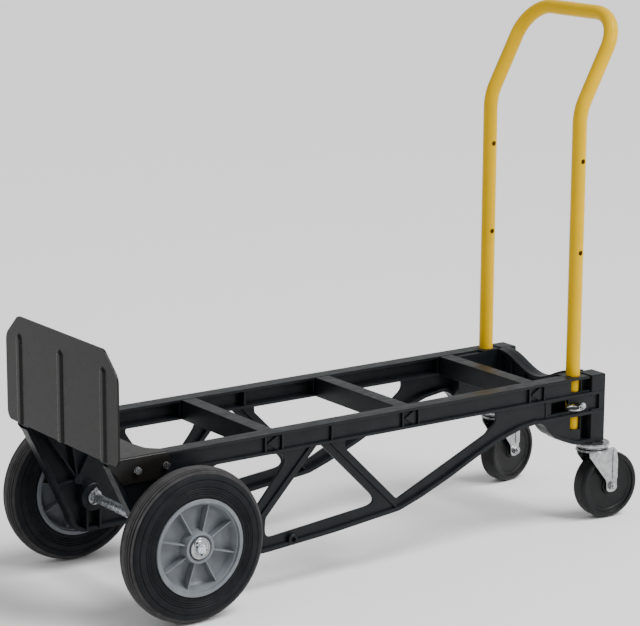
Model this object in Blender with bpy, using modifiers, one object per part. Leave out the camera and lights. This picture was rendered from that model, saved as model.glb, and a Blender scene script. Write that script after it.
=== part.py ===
"""Convertible hand truck, standing on its four wheels as a low platform truck.

Lengths are metres.  Inside this script X runs along the deck from the front face of the nose
plate towards the handle, Y runs across the deck and Z is up from the floor.  At the end one
parent empty moves the whole truck so that its box is centred on X = 0, Y = 0.
The two sides are mirror images: side -1 is the near side (-Y) and side +1 is the far side.
"""
import math

import bmesh
import bpy
from mathutils import Matrix, Vector

# ---------------------------------------------------------------- driving dimensions
GAP = 0.0003                  # clearance between pieces that touch
SIDES = {"near": -1, "far": 1}

DECK_TOP = 0.2683             # top of the rails
RAIL_OUT = 0.1453             # outer edge of the rails, from the centre line
RAIL_IN = 0.1173              # inner edge of the rails
RAIL_FLANGE = 0.0048          # thickness of the rail's top and bottom flanges
RAIL_BOTTOM = 0.2335
RAIL_START = 0.004
FRAME_END = 1.0205            # end face of the corner blocks
WEB_MID = 0.1363              # middle of the web of each side frame
WEB_THICK = 0.005
FOOT_FLANGE = 0.0075          # flange along the foot of each side frame
CHORD_IN = 0.1225             # inner edge of that flange

CROSSBAR_X = (0.3118, 0.5884, 0.8638)
CROSSBAR_NAMES = ("crossbar_front", "crossbar_middle", "crossbar_rear")
CROSSBAR_WIDTH = 0.0282

BLOCK_IN = 0.1050             # inner face of the corner block that holds the handle leg
BLOCK_PANEL = 0.1405          # its recessed outer panel
SOCKET_FLOOR = 0.1705

LEG_X = 0.9615
LEG_Y = 0.1227
TUBE_R = 0.0127
TUBE_WALL = 0.00165
SOCKET_R = 0.0132
KNEE_Z = 0.7372
GRIP_X = LEG_X + 0.087
GRIP_Z = 0.8978
LOCK_Z = 0.2175               # height of the lock pins and of the level sockets
LEG_HOLES_Z = (LOCK_Z, 0.4896, 0.6510)
LOCK_PIN_R = 0.0038

AXLE_X = 0.1247
AXLE_R = 0.0079
WHEEL_R = 0.1270
WHEEL_MID = 0.1916
RIM_R = 0.0795
AXLE_HALF = 0.2205

CASTER_X = 1.0010
CASTER_Y = 0.1350
CASTER_TRAIL = 0.0310
CASTER_WHEEL_R = 0.0610
CASTER_WHEEL_HALF = 0.0160
CASTER_TOP = 0.1440           # underside of the corner block
CASTER_YAW = {"near": math.radians(-4.0), "far": math.radians(10.5)}

PLATE_T = 0.0030
PLATE_HALF = 0.1800
PLATE_TOP = 0.4482
PLATE_BOTTOM = DECK_TOP + GAP
NOSE_BOLTS = ((0.0520, 0.2490), (0.1040, 0.2490))

# ---------------------------------------------------------------- scene, collections, materials
for old in list(bpy.data.objects):
    bpy.data.objects.remove(old)

parts = bpy.data.collections.new("convertible_hand_truck")
cutters = bpy.data.collections.new("cutters")
for group in (parts, cutters):
    bpy.context.scene.collection.children.link(group)

LOOKS = {
    "nylon": ((0.022, 0.024, 0.027), 0.48, 0.0),
    "plate_steel": ((0.050, 0.043, 0.040), 0.36, 0.35),
    "yellow_coat": ((0.86, 0.52, 0.005), 0.30, 0.0),
    "zinc": ((0.62, 0.63, 0.64), 0.32, 1.0),
    "tyre_rubber": ((0.016, 0.016, 0.018), 0.70, 0.0),
    "hub_grey": ((0.20, 0.21, 0.22), 0.50, 0.0),
    "hard_rubber": ((0.010, 0.010, 0.011), 0.38, 0.0),
}


def material(look):
    """One Principled material for each piece, in one of the truck's finishes."""
    colour, roughness, metallic = LOOKS[look]
    made = bpy.data.materials.new(look)
    made.use_nodes = True
    shader = made.node_tree.nodes["Principled BSDF"]
    shader.inputs["Base Color"].default_value = (*colour, 1.0)
    shader.inputs["Roughness"].default_value = roughness
    shader.inputs["Metallic"].default_value = metallic
    return made


# ---------------------------------------------------------------- modelling helpers
def finish(obj, look, origin=(0.0, 0.0, 0.0)):
    """Move the piece to the parts collection, give it its finish and put its origin in place."""
    for group in list(obj.users_collection):
        group.objects.unlink(obj)
    parts.objects.link(obj)
    obj.hide_render = False
    obj.display_type = "TEXTURED"
    obj.data.materials.clear()
    obj.data.materials.append(material(look))
    obj.data.transform(Matrix.Translation(-Vector(origin)))
    obj.location = origin
    obj.data.shade_smooth()
    obj.data.set_sharp_from_angle(angle=math.radians(35))
    return obj


def from_bmesh(name, bm):
    """Turn a bmesh into an object with its faces pointing out."""
    bmesh.ops.remove_doubles(bm, verts=bm.verts, dist=0.000002)
    bmesh.ops.recalc_face_normals(bm, faces=bm.faces)
    mesh = bpy.data.meshes.new(name)
    bm.to_mesh(mesh)
    bm.free()
    obj = bpy.data.objects.new(name, mesh)
    cutters.objects.link(obj)
    obj.hide_render = True
    obj.display_type = "WIRE"
    return obj


def box(name, low, high):
    """A block between two corners, given in any order."""
    low, high = Vector(low), Vector(high)
    bm = bmesh.new()
    bmesh.ops.create_cube(bm, size=1.0)
    size = Vector([abs(a - b) for a, b in zip(high, low)])
    bmesh.ops.scale(bm, vec=size, verts=bm.verts)
    bmesh.ops.translate(bm, vec=(low + high) / 2, verts=bm.verts)
    return from_bmesh(name, bm)


TURN = {
    "X": Matrix.Rotation(math.pi / 2, 4, "Y"),
    "Y": Matrix.Rotation(-math.pi / 2, 4, "X"),
    "Z": Matrix.Identity(4),
}


def rod(name, centre, axis, radius, length, sides=24):
    """A cylinder or, with six sides, a hexagon, along one axis."""
    bm = bmesh.new()
    bmesh.ops.create_cone(bm, cap_ends=True, segments=sides, radius1=radius, radius2=radius, depth=length)
    place = Matrix.Translation(centre) @ TURN[axis]
    bmesh.ops.transform(bm, matrix=place, verts=bm.verts)
    return from_bmesh(name, bm)


def evaluated_mesh(obj):
    """The object's mesh with its modifiers applied, in world space."""
    bpy.context.view_layer.update()
    graph = bpy.context.evaluated_depsgraph_get()
    mesh = bpy.data.meshes.new_from_object(obj.evaluated_get(graph))
    mesh.transform(obj.matrix_world)
    return mesh


def baked(obj):
    """Replace a curve, or a mesh with modifiers, by a plain closed mesh object."""
    bm = bmesh.new()
    mesh = evaluated_mesh(obj)
    bm.from_mesh(mesh)
    name = obj.name
    bpy.data.objects.remove(obj)
    bpy.data.meshes.remove(mesh)
    return from_bmesh(name, bm)


def turned(name, profile, steps, centre=(0.0, 0.0, 0.0), axis="Z"):
    """Screw a closed profile of (radius, height) points about an axis."""
    mesh = bpy.data.meshes.new(name)
    points = [(radius, 0.0, height) for radius, height in profile]
    edges = [(i, (i + 1) % len(points)) for i in range(len(points))]
    if profile[0][0] == 0.0 and profile[-1][0] == 0.0:
        edges.pop()
    mesh.from_pydata(points, edges, [])
    obj = bpy.data.objects.new(name, mesh)
    cutters.objects.link(obj)
    screw = obj.modifiers.new("turn", "SCREW")
    screw.steps = steps
    screw.render_steps = steps
    screw.use_merge_vertices = True
    screw.merge_threshold = 0.00001
    obj.matrix_world = Matrix.Translation(centre) @ TURN[axis]
    return baked(obj)


def rounded(points, radius, steps=4):
    """Replace each corner of a flat outline by an arc; a corner may carry its own radius."""
    outline = []
    count = len(points)
    for i, corner in enumerate(points):
        here = Vector(corner[:2])
        before = Vector(points[i - 1][:2]) - here
        after = Vector(points[(i + 1) % count][:2]) - here
        bend = corner[2] if len(corner) > 2 else radius
        if bend <= 0.0:
            outline.append(tuple(here))
            continue
        half = before.angle(after) / 2
        reach = min(bend / math.tan(half), 0.48 * before.length, 0.48 * after.length)
        start = here + before.normalized() * reach
        end = here + after.normalized() * reach
        for k in range(steps + 1):
            t = k / steps
            outline.append(tuple(start * (1 - t) ** 2 + here * 2 * t * (1 - t) + end * t ** 2))
    return outline


def plate(name, outline, y_from, y_to, holes=()):
    """A flat outline in the XZ plane, with holes, given a thickness across Y."""
    curve = bpy.data.curves.new(name, "CURVE")
    curve.dimensions = "2D"
    curve.fill_mode = "BOTH"
    curve.extrude = abs(y_to - y_from) / 2
    for loop in (outline, *holes):
        spline = curve.splines.new("POLY")
        spline.points.add(len(loop) - 1)
        for point, (x, z) in zip(spline.points, loop):
            point.co = (x, z, 0.0, 1.0)
        spline.use_cyclic_u = True
    obj = bpy.data.objects.new(name, curve)
    cutters.objects.link(obj)
    obj.matrix_world = Matrix.Translation((0.0, (y_from + y_to) / 2, 0.0)) @ Matrix.Rotation(math.pi / 2,
                                                                                             4, "X")
    return baked(obj)


def offset_path(path, distance):
    """An open path moved to its left by a distance."""
    moved = []
    for i, point in enumerate(path):
        here = Vector(point)
        ways = []
        if i > 0:
            ways.append((here - Vector(path[i - 1])).normalized())
        if i < len(path) - 1:
            ways.append((Vector(path[i + 1]) - here).normalized())
        normals = [Vector((-way.y, way.x)) for way in ways]
        middle = sum(normals, Vector((0.0, 0.0))).normalized()
        moved.append(tuple(here + middle * distance / middle.dot(normals[0])))
    return moved


def strip(path, thickness):
    """The closed outline of a band that lies on the left of an open path."""
    return list(path) + offset_path(path, thickness)[::-1]


def combine(target, tools, operation):
    """Join the tools to the target, or cut them from it, and remove them."""
    for tool in tools:
        change = target.modifiers.new(operation.lower(), "BOOLEAN")
        change.operation = operation
        change.object = tool
    name = target.name
    result = baked(target)
    result.name = name
    for tool in tools:
        bpy.data.objects.remove(tool)
    bm = bmesh.new()
    bm.from_mesh(result.data)
    bmesh.ops.dissolve_limit(bm, angle_limit=0.0008, verts=bm.verts, edges=bm.edges)
    bm.to_mesh(result.data)
    bm.free()
    return result


def join(target, *tools):
    return combine(target, tools, "UNION")


def cut(target, *tools):
    return combine(target, tools, "DIFFERENCE")


def tube_along(name, points, radius, resolution=2):
    """A round bar or tube along a polyline, closed at both ends."""
    curve = bpy.data.curves.new(name, "CURVE")
    curve.dimensions = "3D"
    curve.bevel_depth = radius
    curve.bevel_resolution = resolution
    curve.use_fill_caps = True
    spline = curve.splines.new("POLY")
    spline.points.add(len(points) - 1)
    for point, place in zip(spline.points, points):
        point.co = (*place, 1.0)
    obj = bpy.data.objects.new(name, curve)
    cutters.objects.link(obj)
    return baked(obj)


# ---------------------------------------------------------------- side frames
FOOT_PATH = [
    (RAIL_START, RAIL_BOTTOM + 0.020), (0.079, 0.100), (0.086, 0.078), (0.103, 0.066), (0.200, 0.066),
    (0.300, 0.0685), (0.430, 0.0780), (0.566, 0.0925), (0.610, 0.1070), (0.672, 0.1320),
    (0.733, 0.1600), (0.781, 0.1795), (0.825, 0.1925), (0.868, 0.1985), (0.883, 0.1910),
    (0.894, 0.1760), (0.905, 0.1660), (0.922, 0.1575), (0.945, 0.1485), (0.960, CASTER_TOP + 0.0006),
    (FRAME_END - 0.001, CASTER_TOP + 0.0006),
]
BLOCK_FROM = FOOT_PATH.index((0.883, 0.1910))
FRONT_OPENING = [(0.190, 0.231, 0.010), (0.352, 0.231, 0.020), (0.262, 0.126, 0.012)]
MIDDLE_OPENING = [(0.403, 0.236, 0.004), (0.5265, 0.1125, 0.014), (0.296, 0.0905, 0.018),
                  (0.298, 0.125, 0.012)]
REAR_OPENING = [(0.456, 0.234, 0.012), (0.457, 0.2185, 0.008), (0.564, 0.112, 0.008), (0.752, 0.195, 0.022),
                (0.777, 0.214, 0.016), (0.775, 0.234, 0.006)]
NODE_RIB_X = 0.4265
DIAGONALS = (((0.388, 0.236), (0.281, 0.125)), ((0.423, 0.236), (0.563, 0.097)),
             ((0.165, 0.236), (0.259, 0.0725)), ((0.284, 0.130), (0.266, 0.0735)))
AXLE_BOSS_R = 0.024
FAN_NODE = (0.098, 0.160)
FAN_TIPS = ((0.052, 0.236), (0.098, 0.236), (0.150, 0.236), (0.055, 0.153), (AXLE_X, WHEEL_R))
TIE_HOLE = (0.348, 0.0815)
BAND_LIGHT = ((0.886, 0.2065), (0.886, 0.229), (0.904, 0.2175))
RIB = 0.004


def rib_between(name, start, end, y_from, y_to, thickness=RIB):
    """A straight rib standing on the web between two points of the XZ plane."""
    a, b = Vector(start), Vector(end)
    along = (b - a).normalized()
    across = Vector((-along.y, along.x)) * thickness / 2
    outline = [tuple(a - across), tuple(b - across), tuple(b + across), tuple(a + across)]
    return plate(name, outline, y_from, y_to)


def side_frame(name, side):
    """One moulded truss: rail, web with three openings, ribs, axle boss and corner block."""
    web_out = side * (WEB_MID + WEB_THICK / 2)
    web_in = side * (WEB_MID - WEB_THICK / 2)
    web_middle = side * WEB_MID
    out, rail_in = side * RAIL_OUT, side * RAIL_IN
    rim_out = side * (RAIL_OUT - 0.0005)
    inside = offset_path(FOOT_PATH, 0.003)
    web_outline = inside[:BLOCK_FROM] + [(0.895, 0.205), (0.895, DECK_TOP - 0.002),
                                         (RAIL_START + 0.001, DECK_TOP - 0.002)]
    openings = [rounded(loop, 0.01, 3) for loop in (FRONT_OPENING, MIDDLE_OPENING, REAR_OPENING)]
    frame = plate(name, web_outline, web_in, web_out, openings)
    added = [
        box("rail_top", (RAIL_START, rail_in, DECK_TOP - RAIL_FLANGE), (0.990, out, DECK_TOP)),
        box("rail_lip", (RAIL_START, rail_in, RAIL_BOTTOM), (1.018, out, RAIL_BOTTOM + RAIL_FLANGE)),
        plate("foot_flange", strip(FOOT_PATH, FOOT_FLANGE), side * CHORD_IN, rim_out),
    ]
    # the rib at the middle node and the ribs beside each crossbar
    rib_places = [NODE_RIB_X] + [bar + step for bar in CROSSBAR_X for step in (-0.0165, 0.0165)]
    for x in rib_places:
        low = (x - RIB / 2, side * (RAIL_IN + 0.001), RAIL_BOTTOM + 0.001)
        high = (x + RIB / 2, side * (RAIL_OUT - 0.0015), DECK_TOP - 0.001)
        added.append(box("rail_rib", low, high))
    # centre ribs of the diagonals on both sides of the front and middle openings
    for step, (start, end) in enumerate(DIAGONALS):
        inner, outer = side * (0.1265 + 0.0003 * step), side * (0.1423 + 0.0003 * step)
        added.append(rib_between("diagonal_rib", start, end, inner, outer))
    # axle boss, the post under it and the ribs that fan out from the node beside it
    added.append(rod("axle_boss", (AXLE_X, side * 0.1325, WHEEL_R), "Y", AXLE_BOSS_R, 0.035, 24))
    for x in (0.112, 0.137):
        added.append(rib_between("post_rib", (x, 0.070), (x, 0.118), side * 0.1185, web_middle))
    for step, tip in enumerate(FAN_TIPS):
        inner, outer = side * (0.1240 + 0.0003 * step), side * (WEB_MID + 0.0003 * step)
        added.append(rib_between("fan_rib", FAN_NODE, tip, inner, outer))
    added.append(rod("fan_boss", (FAN_NODE[0], side * 0.1290, FAN_NODE[1]), "Y", 0.008, 0.016, 12))
    # bosses for the nose plate bolts and the tie boss on the lower chord
    for x, z in NOSE_BOLTS:
        added.append(rod("bolt_boss", (x, side * (RAIL_OUT - 0.0052), z), "Y", 0.009, 0.010, 12))
    added.append(rod("tie_boss", (TIE_HOLE[0], side * 0.1403, TIE_HOLE[1]), "Y", 0.009, 0.012, 16))
    # corner block with its column, collar, lower band
    block_outline = offset_path(FOOT_PATH, 0.002)[BLOCK_FROM:] + [(FRAME_END - 0.003, DECK_TOP - 0.001),
                                                                  (0.884, DECK_TOP - 0.001)]
    column_low = (0.9850, side * (BLOCK_IN + 0.0006), CASTER_TOP)
    collar_low = (LEG_X - 0.022, side * (BLOCK_IN - 0.0004), DECK_TOP - 0.010)
    added += [
        plate("block_body", block_outline, side * BLOCK_IN, side * BLOCK_PANEL),
        box("column", column_low, (FRAME_END, side * (RAIL_OUT - 0.0008), DECK_TOP - 0.0012)),
        box("collar", collar_low, (0.9755, side * 0.130, DECK_TOP - 0.0008)),
        box("lower_band", (0.8640, side * 0.1300, 0.1975), (1.018, out, 0.2035)),
    ]
    frame = join(frame, *added)

    removed = [
        rod("axle_bore", (AXLE_X, side * 0.1325, WHEEL_R), "Y", AXLE_R + GAP, 0.060, 24),
        rod("leg_socket", (LEG_X, side * LEG_Y, SOCKET_FLOOR + 0.060), "Z", SOCKET_R, 0.120, 24),
        rod("level_socket", (0.9640, side * LEG_Y, LOCK_Z), "X", SOCKET_R, 0.1340, 24),
        rod("pin_hole", (LEG_X, side * 0.1350, LOCK_Z), "Y", LOCK_PIN_R + GAP, 0.030, 16),
        rod("stem_bore", (CASTER_X, side * CASTER_Y, CASTER_TOP + 0.0145), "Z", 0.0063, 0.055, 16),
        rod("tie_bore", (TIE_HOLE[0], side * 0.140, TIE_HOLE[1]), "Y", 0.0045, 0.040, 12),
        box("upper_window", (0.9430, side * 0.126, 0.2410), (0.9660, side * 0.150, 0.2620)),
        box("lower_window", (0.9430, side * 0.126, 0.1725), (0.9660, side * 0.150, 0.1965)),
        box("upper_groove", (0.9700, side * 0.128, 0.2410), (0.9835, side * 0.150, 0.2620)),
        box("lower_groove", (0.9700, side * 0.126, 0.1510), (0.9835, side * 0.150, 0.1965)),
        box("band_pocket", (0.9080, side * 0.1392, 0.2055), (1.0060, side * 0.150, 0.2320)),
        box("ring_pocket", (0.9190, side * 0.1270, LOCK_Z - 0.0065),
            (0.9590, side * 0.150, LOCK_Z + 0.0065)),
        box("member_pocket", (0.9795, side * 0.100, 0.2370), (1.0005, side * 0.1180, 0.2610)),
        plate("band_light", rounded(BAND_LIGHT, 0.002, 2), side * 0.100, side * 0.150),
    ]
    for x, z in NOSE_BOLTS:
        removed.append(rod("bolt_hole", (x, side * 0.135, z), "Y", 0.0034, 0.040, 12))
    for x in CROSSBAR_X:
        removed.append(box("bar_slot", (x - 0.0125, side * 0.130, 0.2405),
                           (x + 0.0125, side * 0.143, 0.2620)))
    frame = cut(frame, *removed)
    return finish(frame, "nylon")


for label, side in SIDES.items():
    side_frame("side_frame_" + label, side)


# ---------------------------------------------------------------- crossbars
def crossbar(name, x):
    """A channel that drops between the rails, with snap hooks through the side frames' webs."""
    half = CROSSBAR_WIDTH / 2
    reach = RAIL_IN - GAP
    bar = box(name, (x - half, -reach, RAIL_BOTTOM), (x + half, reach, DECK_TOP - 0.0005))
    hook_in = WEB_MID + WEB_THICK / 2 + GAP
    for side in SIDES.values():
        tongue = box("tongue", (x - 0.0122, side * 0.110, 0.2408),
                     (x + 0.0122, side * (hook_in + 0.001), 0.2617))
        hook_outline = [(x - 0.0138, 0.2512), (x + 0.0060, 0.2396), (x + 0.0060, 0.2628)]
        hook = plate("hook", hook_outline, side * hook_in, side * 0.1435)
        bar = join(bar, tongue, hook)
    hollow = box("hollow", (x - half + 0.004, -0.108, RAIL_BOTTOM - 0.01),
                 (x + half - 0.004, 0.108, DECK_TOP - 0.005))
    bar = cut(bar, hollow)
    stiffeners = [box("stiffener", (x - half + 0.002, y - 0.002, RAIL_BOTTOM + 0.002),
                      (x + half - 0.002, y + 0.002, DECK_TOP - 0.003))
                  for y in (-0.054, 0.0, 0.054)]
    bar = join(bar, *stiffeners)
    return finish(bar, "nylon")


for bar_name, bar_x in zip(CROSSBAR_NAMES, CROSSBAR_X):
    crossbar(bar_name, bar_x)


# ---------------------------------------------------------------- end cross member
def end_cross_member():
    """The saddle at the handle end: its top flange dips in the middle so a drum can lie in it."""
    half_span = BLOCK_IN - GAP
    dip = 0.0290
    steps = 17
    reach_y = half_span - 0.0010
    stations = [-reach_y + 2 * reach_y * k / steps for k in range(steps + 1)]

    def top(y):
        reach = min(abs(y) / 0.100, 1.0)
        return DECK_TOP - 0.0005 - dip / 2 * (1 + math.cos(math.pi * reach))

    def slab(name, x_from, x_to, lower_edge):
        """Stand a flat outline of the YZ plane up across X, under the dipped top edge."""
        outline = [(y, top(y)) for y in stations] + lower_edge
        flat = plate(name, outline, -x_to, -x_from)
        flat.data.transform(Matrix.Rotation(math.pi / 2, 4, "Z"))
        return flat

    under_flange = [(y, top(y) - 0.005) for y in reversed(stations)]
    member = slab("end_cross_member", 0.9870, 0.9925, [(reach_y, 0.201), (-reach_y, 0.201)])
    flange = slab("saddle_flange", 0.9760, 1.0035, under_flange)
    foot = box("foot_flange", (0.9785, -reach_y, 0.2000), (1.0010, reach_y, 0.2055))
    added = [flange, foot]
    for y in (-0.070, -0.035, 0.0, 0.035, 0.070):
        added.append(box("rib", (0.9795, y - 0.0018, 0.202), (1.0000, y + 0.0018, top(y) - 0.002)))
    for side in SIDES.values():
        added.append(box("end_plate", (0.9780, side * 0.0990, 0.1995),
                         (1.0015, side * half_span, top(half_span) - 0.002)))
        added.append(box("tenon", (0.9798, side * 0.100, 0.2373), (1.0002, side * 0.1175, 0.2607)))
    return finish(join(member, *added), "nylon")


end_cross_member()


# ---------------------------------------------------------------- nose plate and its fasteners
def nose_plate():
    """Steel plate stood up across the deck, folded back onto it and down over both rails."""
    chamfer = 0.0370
    face = [(-PLATE_HALF, PLATE_BOTTOM + 0.010), (-PLATE_HALF + 0.008, PLATE_BOTTOM),
            (PLATE_HALF - 0.008, PLATE_BOTTOM),
            (PLATE_HALF, PLATE_BOTTOM + 0.010), (PLATE_HALF, PLATE_TOP - chamfer), (PLATE_HALF - 0.0415,
                                                                                    PLATE_TOP),
            (-PLATE_HALF + 0.0415, PLATE_TOP), (-PLATE_HALF, PLATE_TOP - chamfer)]
    upright = plate("nose_plate", rounded(face, 0.008, 3), -PLATE_T, 0.0)
    upright.data.transform(Matrix.Rotation(math.pi / 2, 4, "Z"))
    # the foot on the deck: deep at the rails, cut back in an arc between them
    cheek = RAIL_OUT + GAP + PLATE_T
    foot = [(0.0, -cheek), (0.106, -cheek), (0.111, -0.1420), (0.105, -0.1270), (0.089, -0.1110),
            (0.0835, -0.0760),
            (0.0835, 0.0760), (0.089, 0.1110), (0.105, 0.1270), (0.111, 0.1420), (0.106, cheek), (0.0,
                                                                                                  cheek)]
    shelf = plate("shelf", foot, -PLATE_BOTTOM - PLATE_T, -PLATE_BOTTOM)
    shelf.data.transform(Matrix.Rotation(-math.pi / 2, 4, "X"))
    added = [shelf]
    for side in SIDES.values():
        flap = [(0.000, 0.2700), (0.000, 0.2290), (0.100, 0.2290), (0.1165, 0.2500), (0.106, 0.2710)]
        added.append(plate("flap", flap, side * (RAIL_OUT + GAP), side * cheek))
    result = join(upright, *added)
    # three stamped beads stand proud of the front face and leave a trough behind
    for y in (-0.1350, 0.0, 0.1350):
        bead = rod("bead", (0.0, y, (PLATE_BOTTOM + 0.012 + PLATE_TOP - 0.036) / 2), "Z", 0.0075, 0.128, 16)
        bead.data.transform(Matrix.Diagonal((0.30, 1.0, 1.0, 1.0)))
        result = join(result, bead)
    holes = [rod("hole", (x, side * 0.147, z), "Y", 0.0034, 0.012, 16) for x,
             z in NOSE_BOLTS for side in SIDES.values()]
    return finish(cut(result, *holes), "plate_steel")


nose_plate()

for label, side in SIDES.items():
    for number, (x, z) in enumerate(NOSE_BOLTS, start=1):
        head_at = RAIL_OUT + PLATE_T + 2 * GAP
        bolt_name = "nose_bolt_%s_%d" % (label, number)
        nut_name = "nose_nut_%s_%d" % (label, number)
        shank_in = 0.1235
        bolt = rod(bolt_name, (x, side * (head_at + 0.0022), z), "Y", 0.0062, 0.0044, 6)
        shank = rod("shank", (x, side * (head_at + shank_in) / 2, z), "Y", 0.0030,
                    head_at - shank_in + 0.001, 16)
        finish(join(bolt, shank), "zinc")
        nut_mid = WEB_MID - WEB_THICK / 2 - GAP - 0.0026
        nut = rod(nut_name, (x, side * nut_mid, z), "Y", 0.0062, 0.0052, 6)
        finish(cut(nut, rod("thread", (x, side * nut_mid, z), "Y", 0.0033, 0.010, 16)), "zinc")


# ---------------------------------------------------------------- axle and main wheels
PIN_INNER = 0.1105
PIN_OUTER = 0.2178
axle = rod("axle", (AXLE_X, 0.0, WHEEL_R), "Y", AXLE_R, 2 * AXLE_HALF, 24)
cross_holes = [rod("cross_hole", (AXLE_X, y, WHEEL_R), "Z", 0.0019, 0.030, 8)
               for y in (-PIN_OUTER, -PIN_INNER, PIN_INNER, PIN_OUTER)]
finish(cut(axle, *cross_holes), "zinc")


def washer(name, side, y_from, y_to, outer, inner=AXLE_R + GAP):
    """A flat ring on the axle."""
    low, high = sorted((side * y_from, side * y_to))
    profile = [(outer, low), (outer, high), (inner, high), (inner, low)]
    return turned(name, profile, 20, (AXLE_X, 0.0, WHEEL_R), "Y")


def cotter_pin(name, side, y):
    """A split pin through the axle, with its eye above and its two legs bent apart below."""
    top = Vector((AXLE_X, side * y, WHEEL_R + AXLE_R + 0.0030))
    foot = Vector((AXLE_X, side * y, WHEEL_R - AXLE_R - 0.0012))
    pin = tube_along(name, [top + Vector((0, 0, 0.001)), foot], 0.0015, 1)
    eye = [top + Vector((0.0030 * math.sin(a), 0.0, 0.0022 - 0.0030 * math.cos(a)))
           for a in [2 * math.pi * k / 9 + 0.25 for k in range(9)]]
    loop = tube_along("eye", eye, 0.0011, 1)
    legs = [tube_along("leg", [foot + Vector((0, 0, 0.0012)), foot + Vector((way * 0.0035, 0, -0.0012)),
                               foot + Vector((way * 0.0070, 0, 0.0006))], 0.0010, 1) for way in (-1, 1)]
    return join(pin, loop, *legs)


TYRE_PROFILE = [
    (RIM_R + 0.0002, 0.0215), (RIM_R + 0.010, 0.0228), (0.1030, 0.0230), (0.1160, 0.0205), (0.1235, 0.0145),
    (0.1265, 0.0060), (WHEEL_R, 0.0000),
]


def mirrored(profile):
    """A closed profile from the half above the wheel's middle plane."""
    lower = [(radius, -height) for radius, height in reversed(profile) if height > 0.0]
    return profile + lower


def wheel(label, side):
    """Tyre, spoked hub and bearing sleeve, all on the axle's line."""
    centre = (AXLE_X, side * WHEEL_MID, WHEEL_R)
    tyre = turned("tyre_" + label, mirrored(TYRE_PROFILE), 32, centre, "Y")
    finish(tyre, "tyre_rubber", centre)

    rim = RIM_R - GAP / 2
    face = 0.0245
    boss = 0.0215
    profile = [
        (rim, face), (rim - 0.0095, face), (rim - 0.0120, 0.0150), (0.0620, 0.0035), (0.0300, 0.0045),
        (0.0250, boss), (0.0112, boss),
    ]
    hub = turned("hub_" + label, mirrored(profile), 32, centre, "Y")
    spokes = []
    for face_side in (-1, 1):
        for k in range(4):
            height = face_side * 0.0105
            spoke = box("spoke", (-0.0700, height - 0.0070, -0.0011), (0.0700, height + 0.0070, 0.0011))
            bore = rod("spoke_gap", (0.0, height, 0.0), "Y", 0.0200, 0.050, 16)
            for shape in (spoke, bore):
                shape.data.transform(Matrix.Translation(centre) @ Matrix.Rotation(math.pi * (k + 0.5) / 4,
                                                                                  4, "Y"))
            spokes.append(cut(spoke, bore))
    finish(join(hub, *spokes), "hub_grey", centre)

    sleeve_half = 0.0235
    sleeve = turned("sleeve_" + label, [(0.0109, sleeve_half), (0.0109, -sleeve_half),
                                        (AXLE_R + GAP, -sleeve_half), (AXLE_R + GAP,
                                                                       sleeve_half)], 20, centre, "Y")
    finish(sleeve, "zinc", centre)


for label, side in SIDES.items():
    wheel(label, side)
    sleeve_in = WHEEL_MID - 0.0235
    sleeve_out = WHEEL_MID + 0.0235
    finish(washer("inner_washer_" + label, side, 0.1125, 0.1147, 0.0128), "zinc")
    finish(washer("wheel_spacer_" + label, side, 0.1503, sleeve_in - GAP, 0.0120), "zinc")
    finish(washer("outer_washer_" + label, side, sleeve_out + GAP, sleeve_out + 0.0010, 0.0175), "zinc")
    finish(cotter_pin("inner_cotter_" + label, side, PIN_INNER), "zinc")
    finish(cotter_pin("outer_cotter_" + label, side, PIN_OUTER), "zinc")


# ---------------------------------------------------------------- handle
def bend_points(corner, before, after, radius, steps):
    """Points of an arc that rounds the corner between two directions."""
    corner, before, after = Vector(corner), Vector(before).normalized(), Vector(after).normalized()
    half = (-before).angle(after) / 2
    reach = radius / math.tan(half)
    start = corner - before * reach
    centre = corner + (after - before).normalized() * radius / math.sin(half)
    axis = before.cross(after).normalized()
    sweep = math.pi - 2 * half
    spoke = start - centre
    return [centre + Matrix.Rotation(sweep * k / steps, 3, axis) @ spoke for k in range(steps + 1)]


def handle_path(side):
    """Half of the handle's centre line, from the foot of one leg to the middle of the grip."""
    foot = Vector((LEG_X, side * LEG_Y, SOCKET_FLOOR + GAP))
    knee = Vector((LEG_X, side * LEG_Y, KNEE_Z))
    corner = Vector((GRIP_X, side * LEG_Y, GRIP_Z))
    rise = corner - knee
    across = Vector((0.0, -side, 0.0))
    path = [foot]
    path += bend_points(knee, (0, 0, 1), rise, 0.090, 3)
    path += bend_points(corner, rise, across, 0.062, 6)
    return path


half_path = handle_path(-1)
other_half = [Vector((p.x, -p.y, p.z)) for p in reversed(half_path)]
handle = tube_along("handle", half_path + other_half, TUBE_R, 3)
below = Vector((0.0, 0.0, -0.01))
bore_path = [half_path[0] + below] + half_path[1:] + other_half[:-1] + [other_half[-1] + below]
handle = cut(handle, tube_along("tube_bore", bore_path, TUBE_R - TUBE_WALL, 2))
leg_holes = [rod("leg_hole", (LEG_X, side * LEG_Y, z), "Y", 0.0046, 0.040, 16)
             for z in LEG_HOLES_Z for side in SIDES.values()]
finish(cut(handle, *leg_holes), "yellow_coat", (LEG_X, 0.0, SOCKET_FLOOR))


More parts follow.
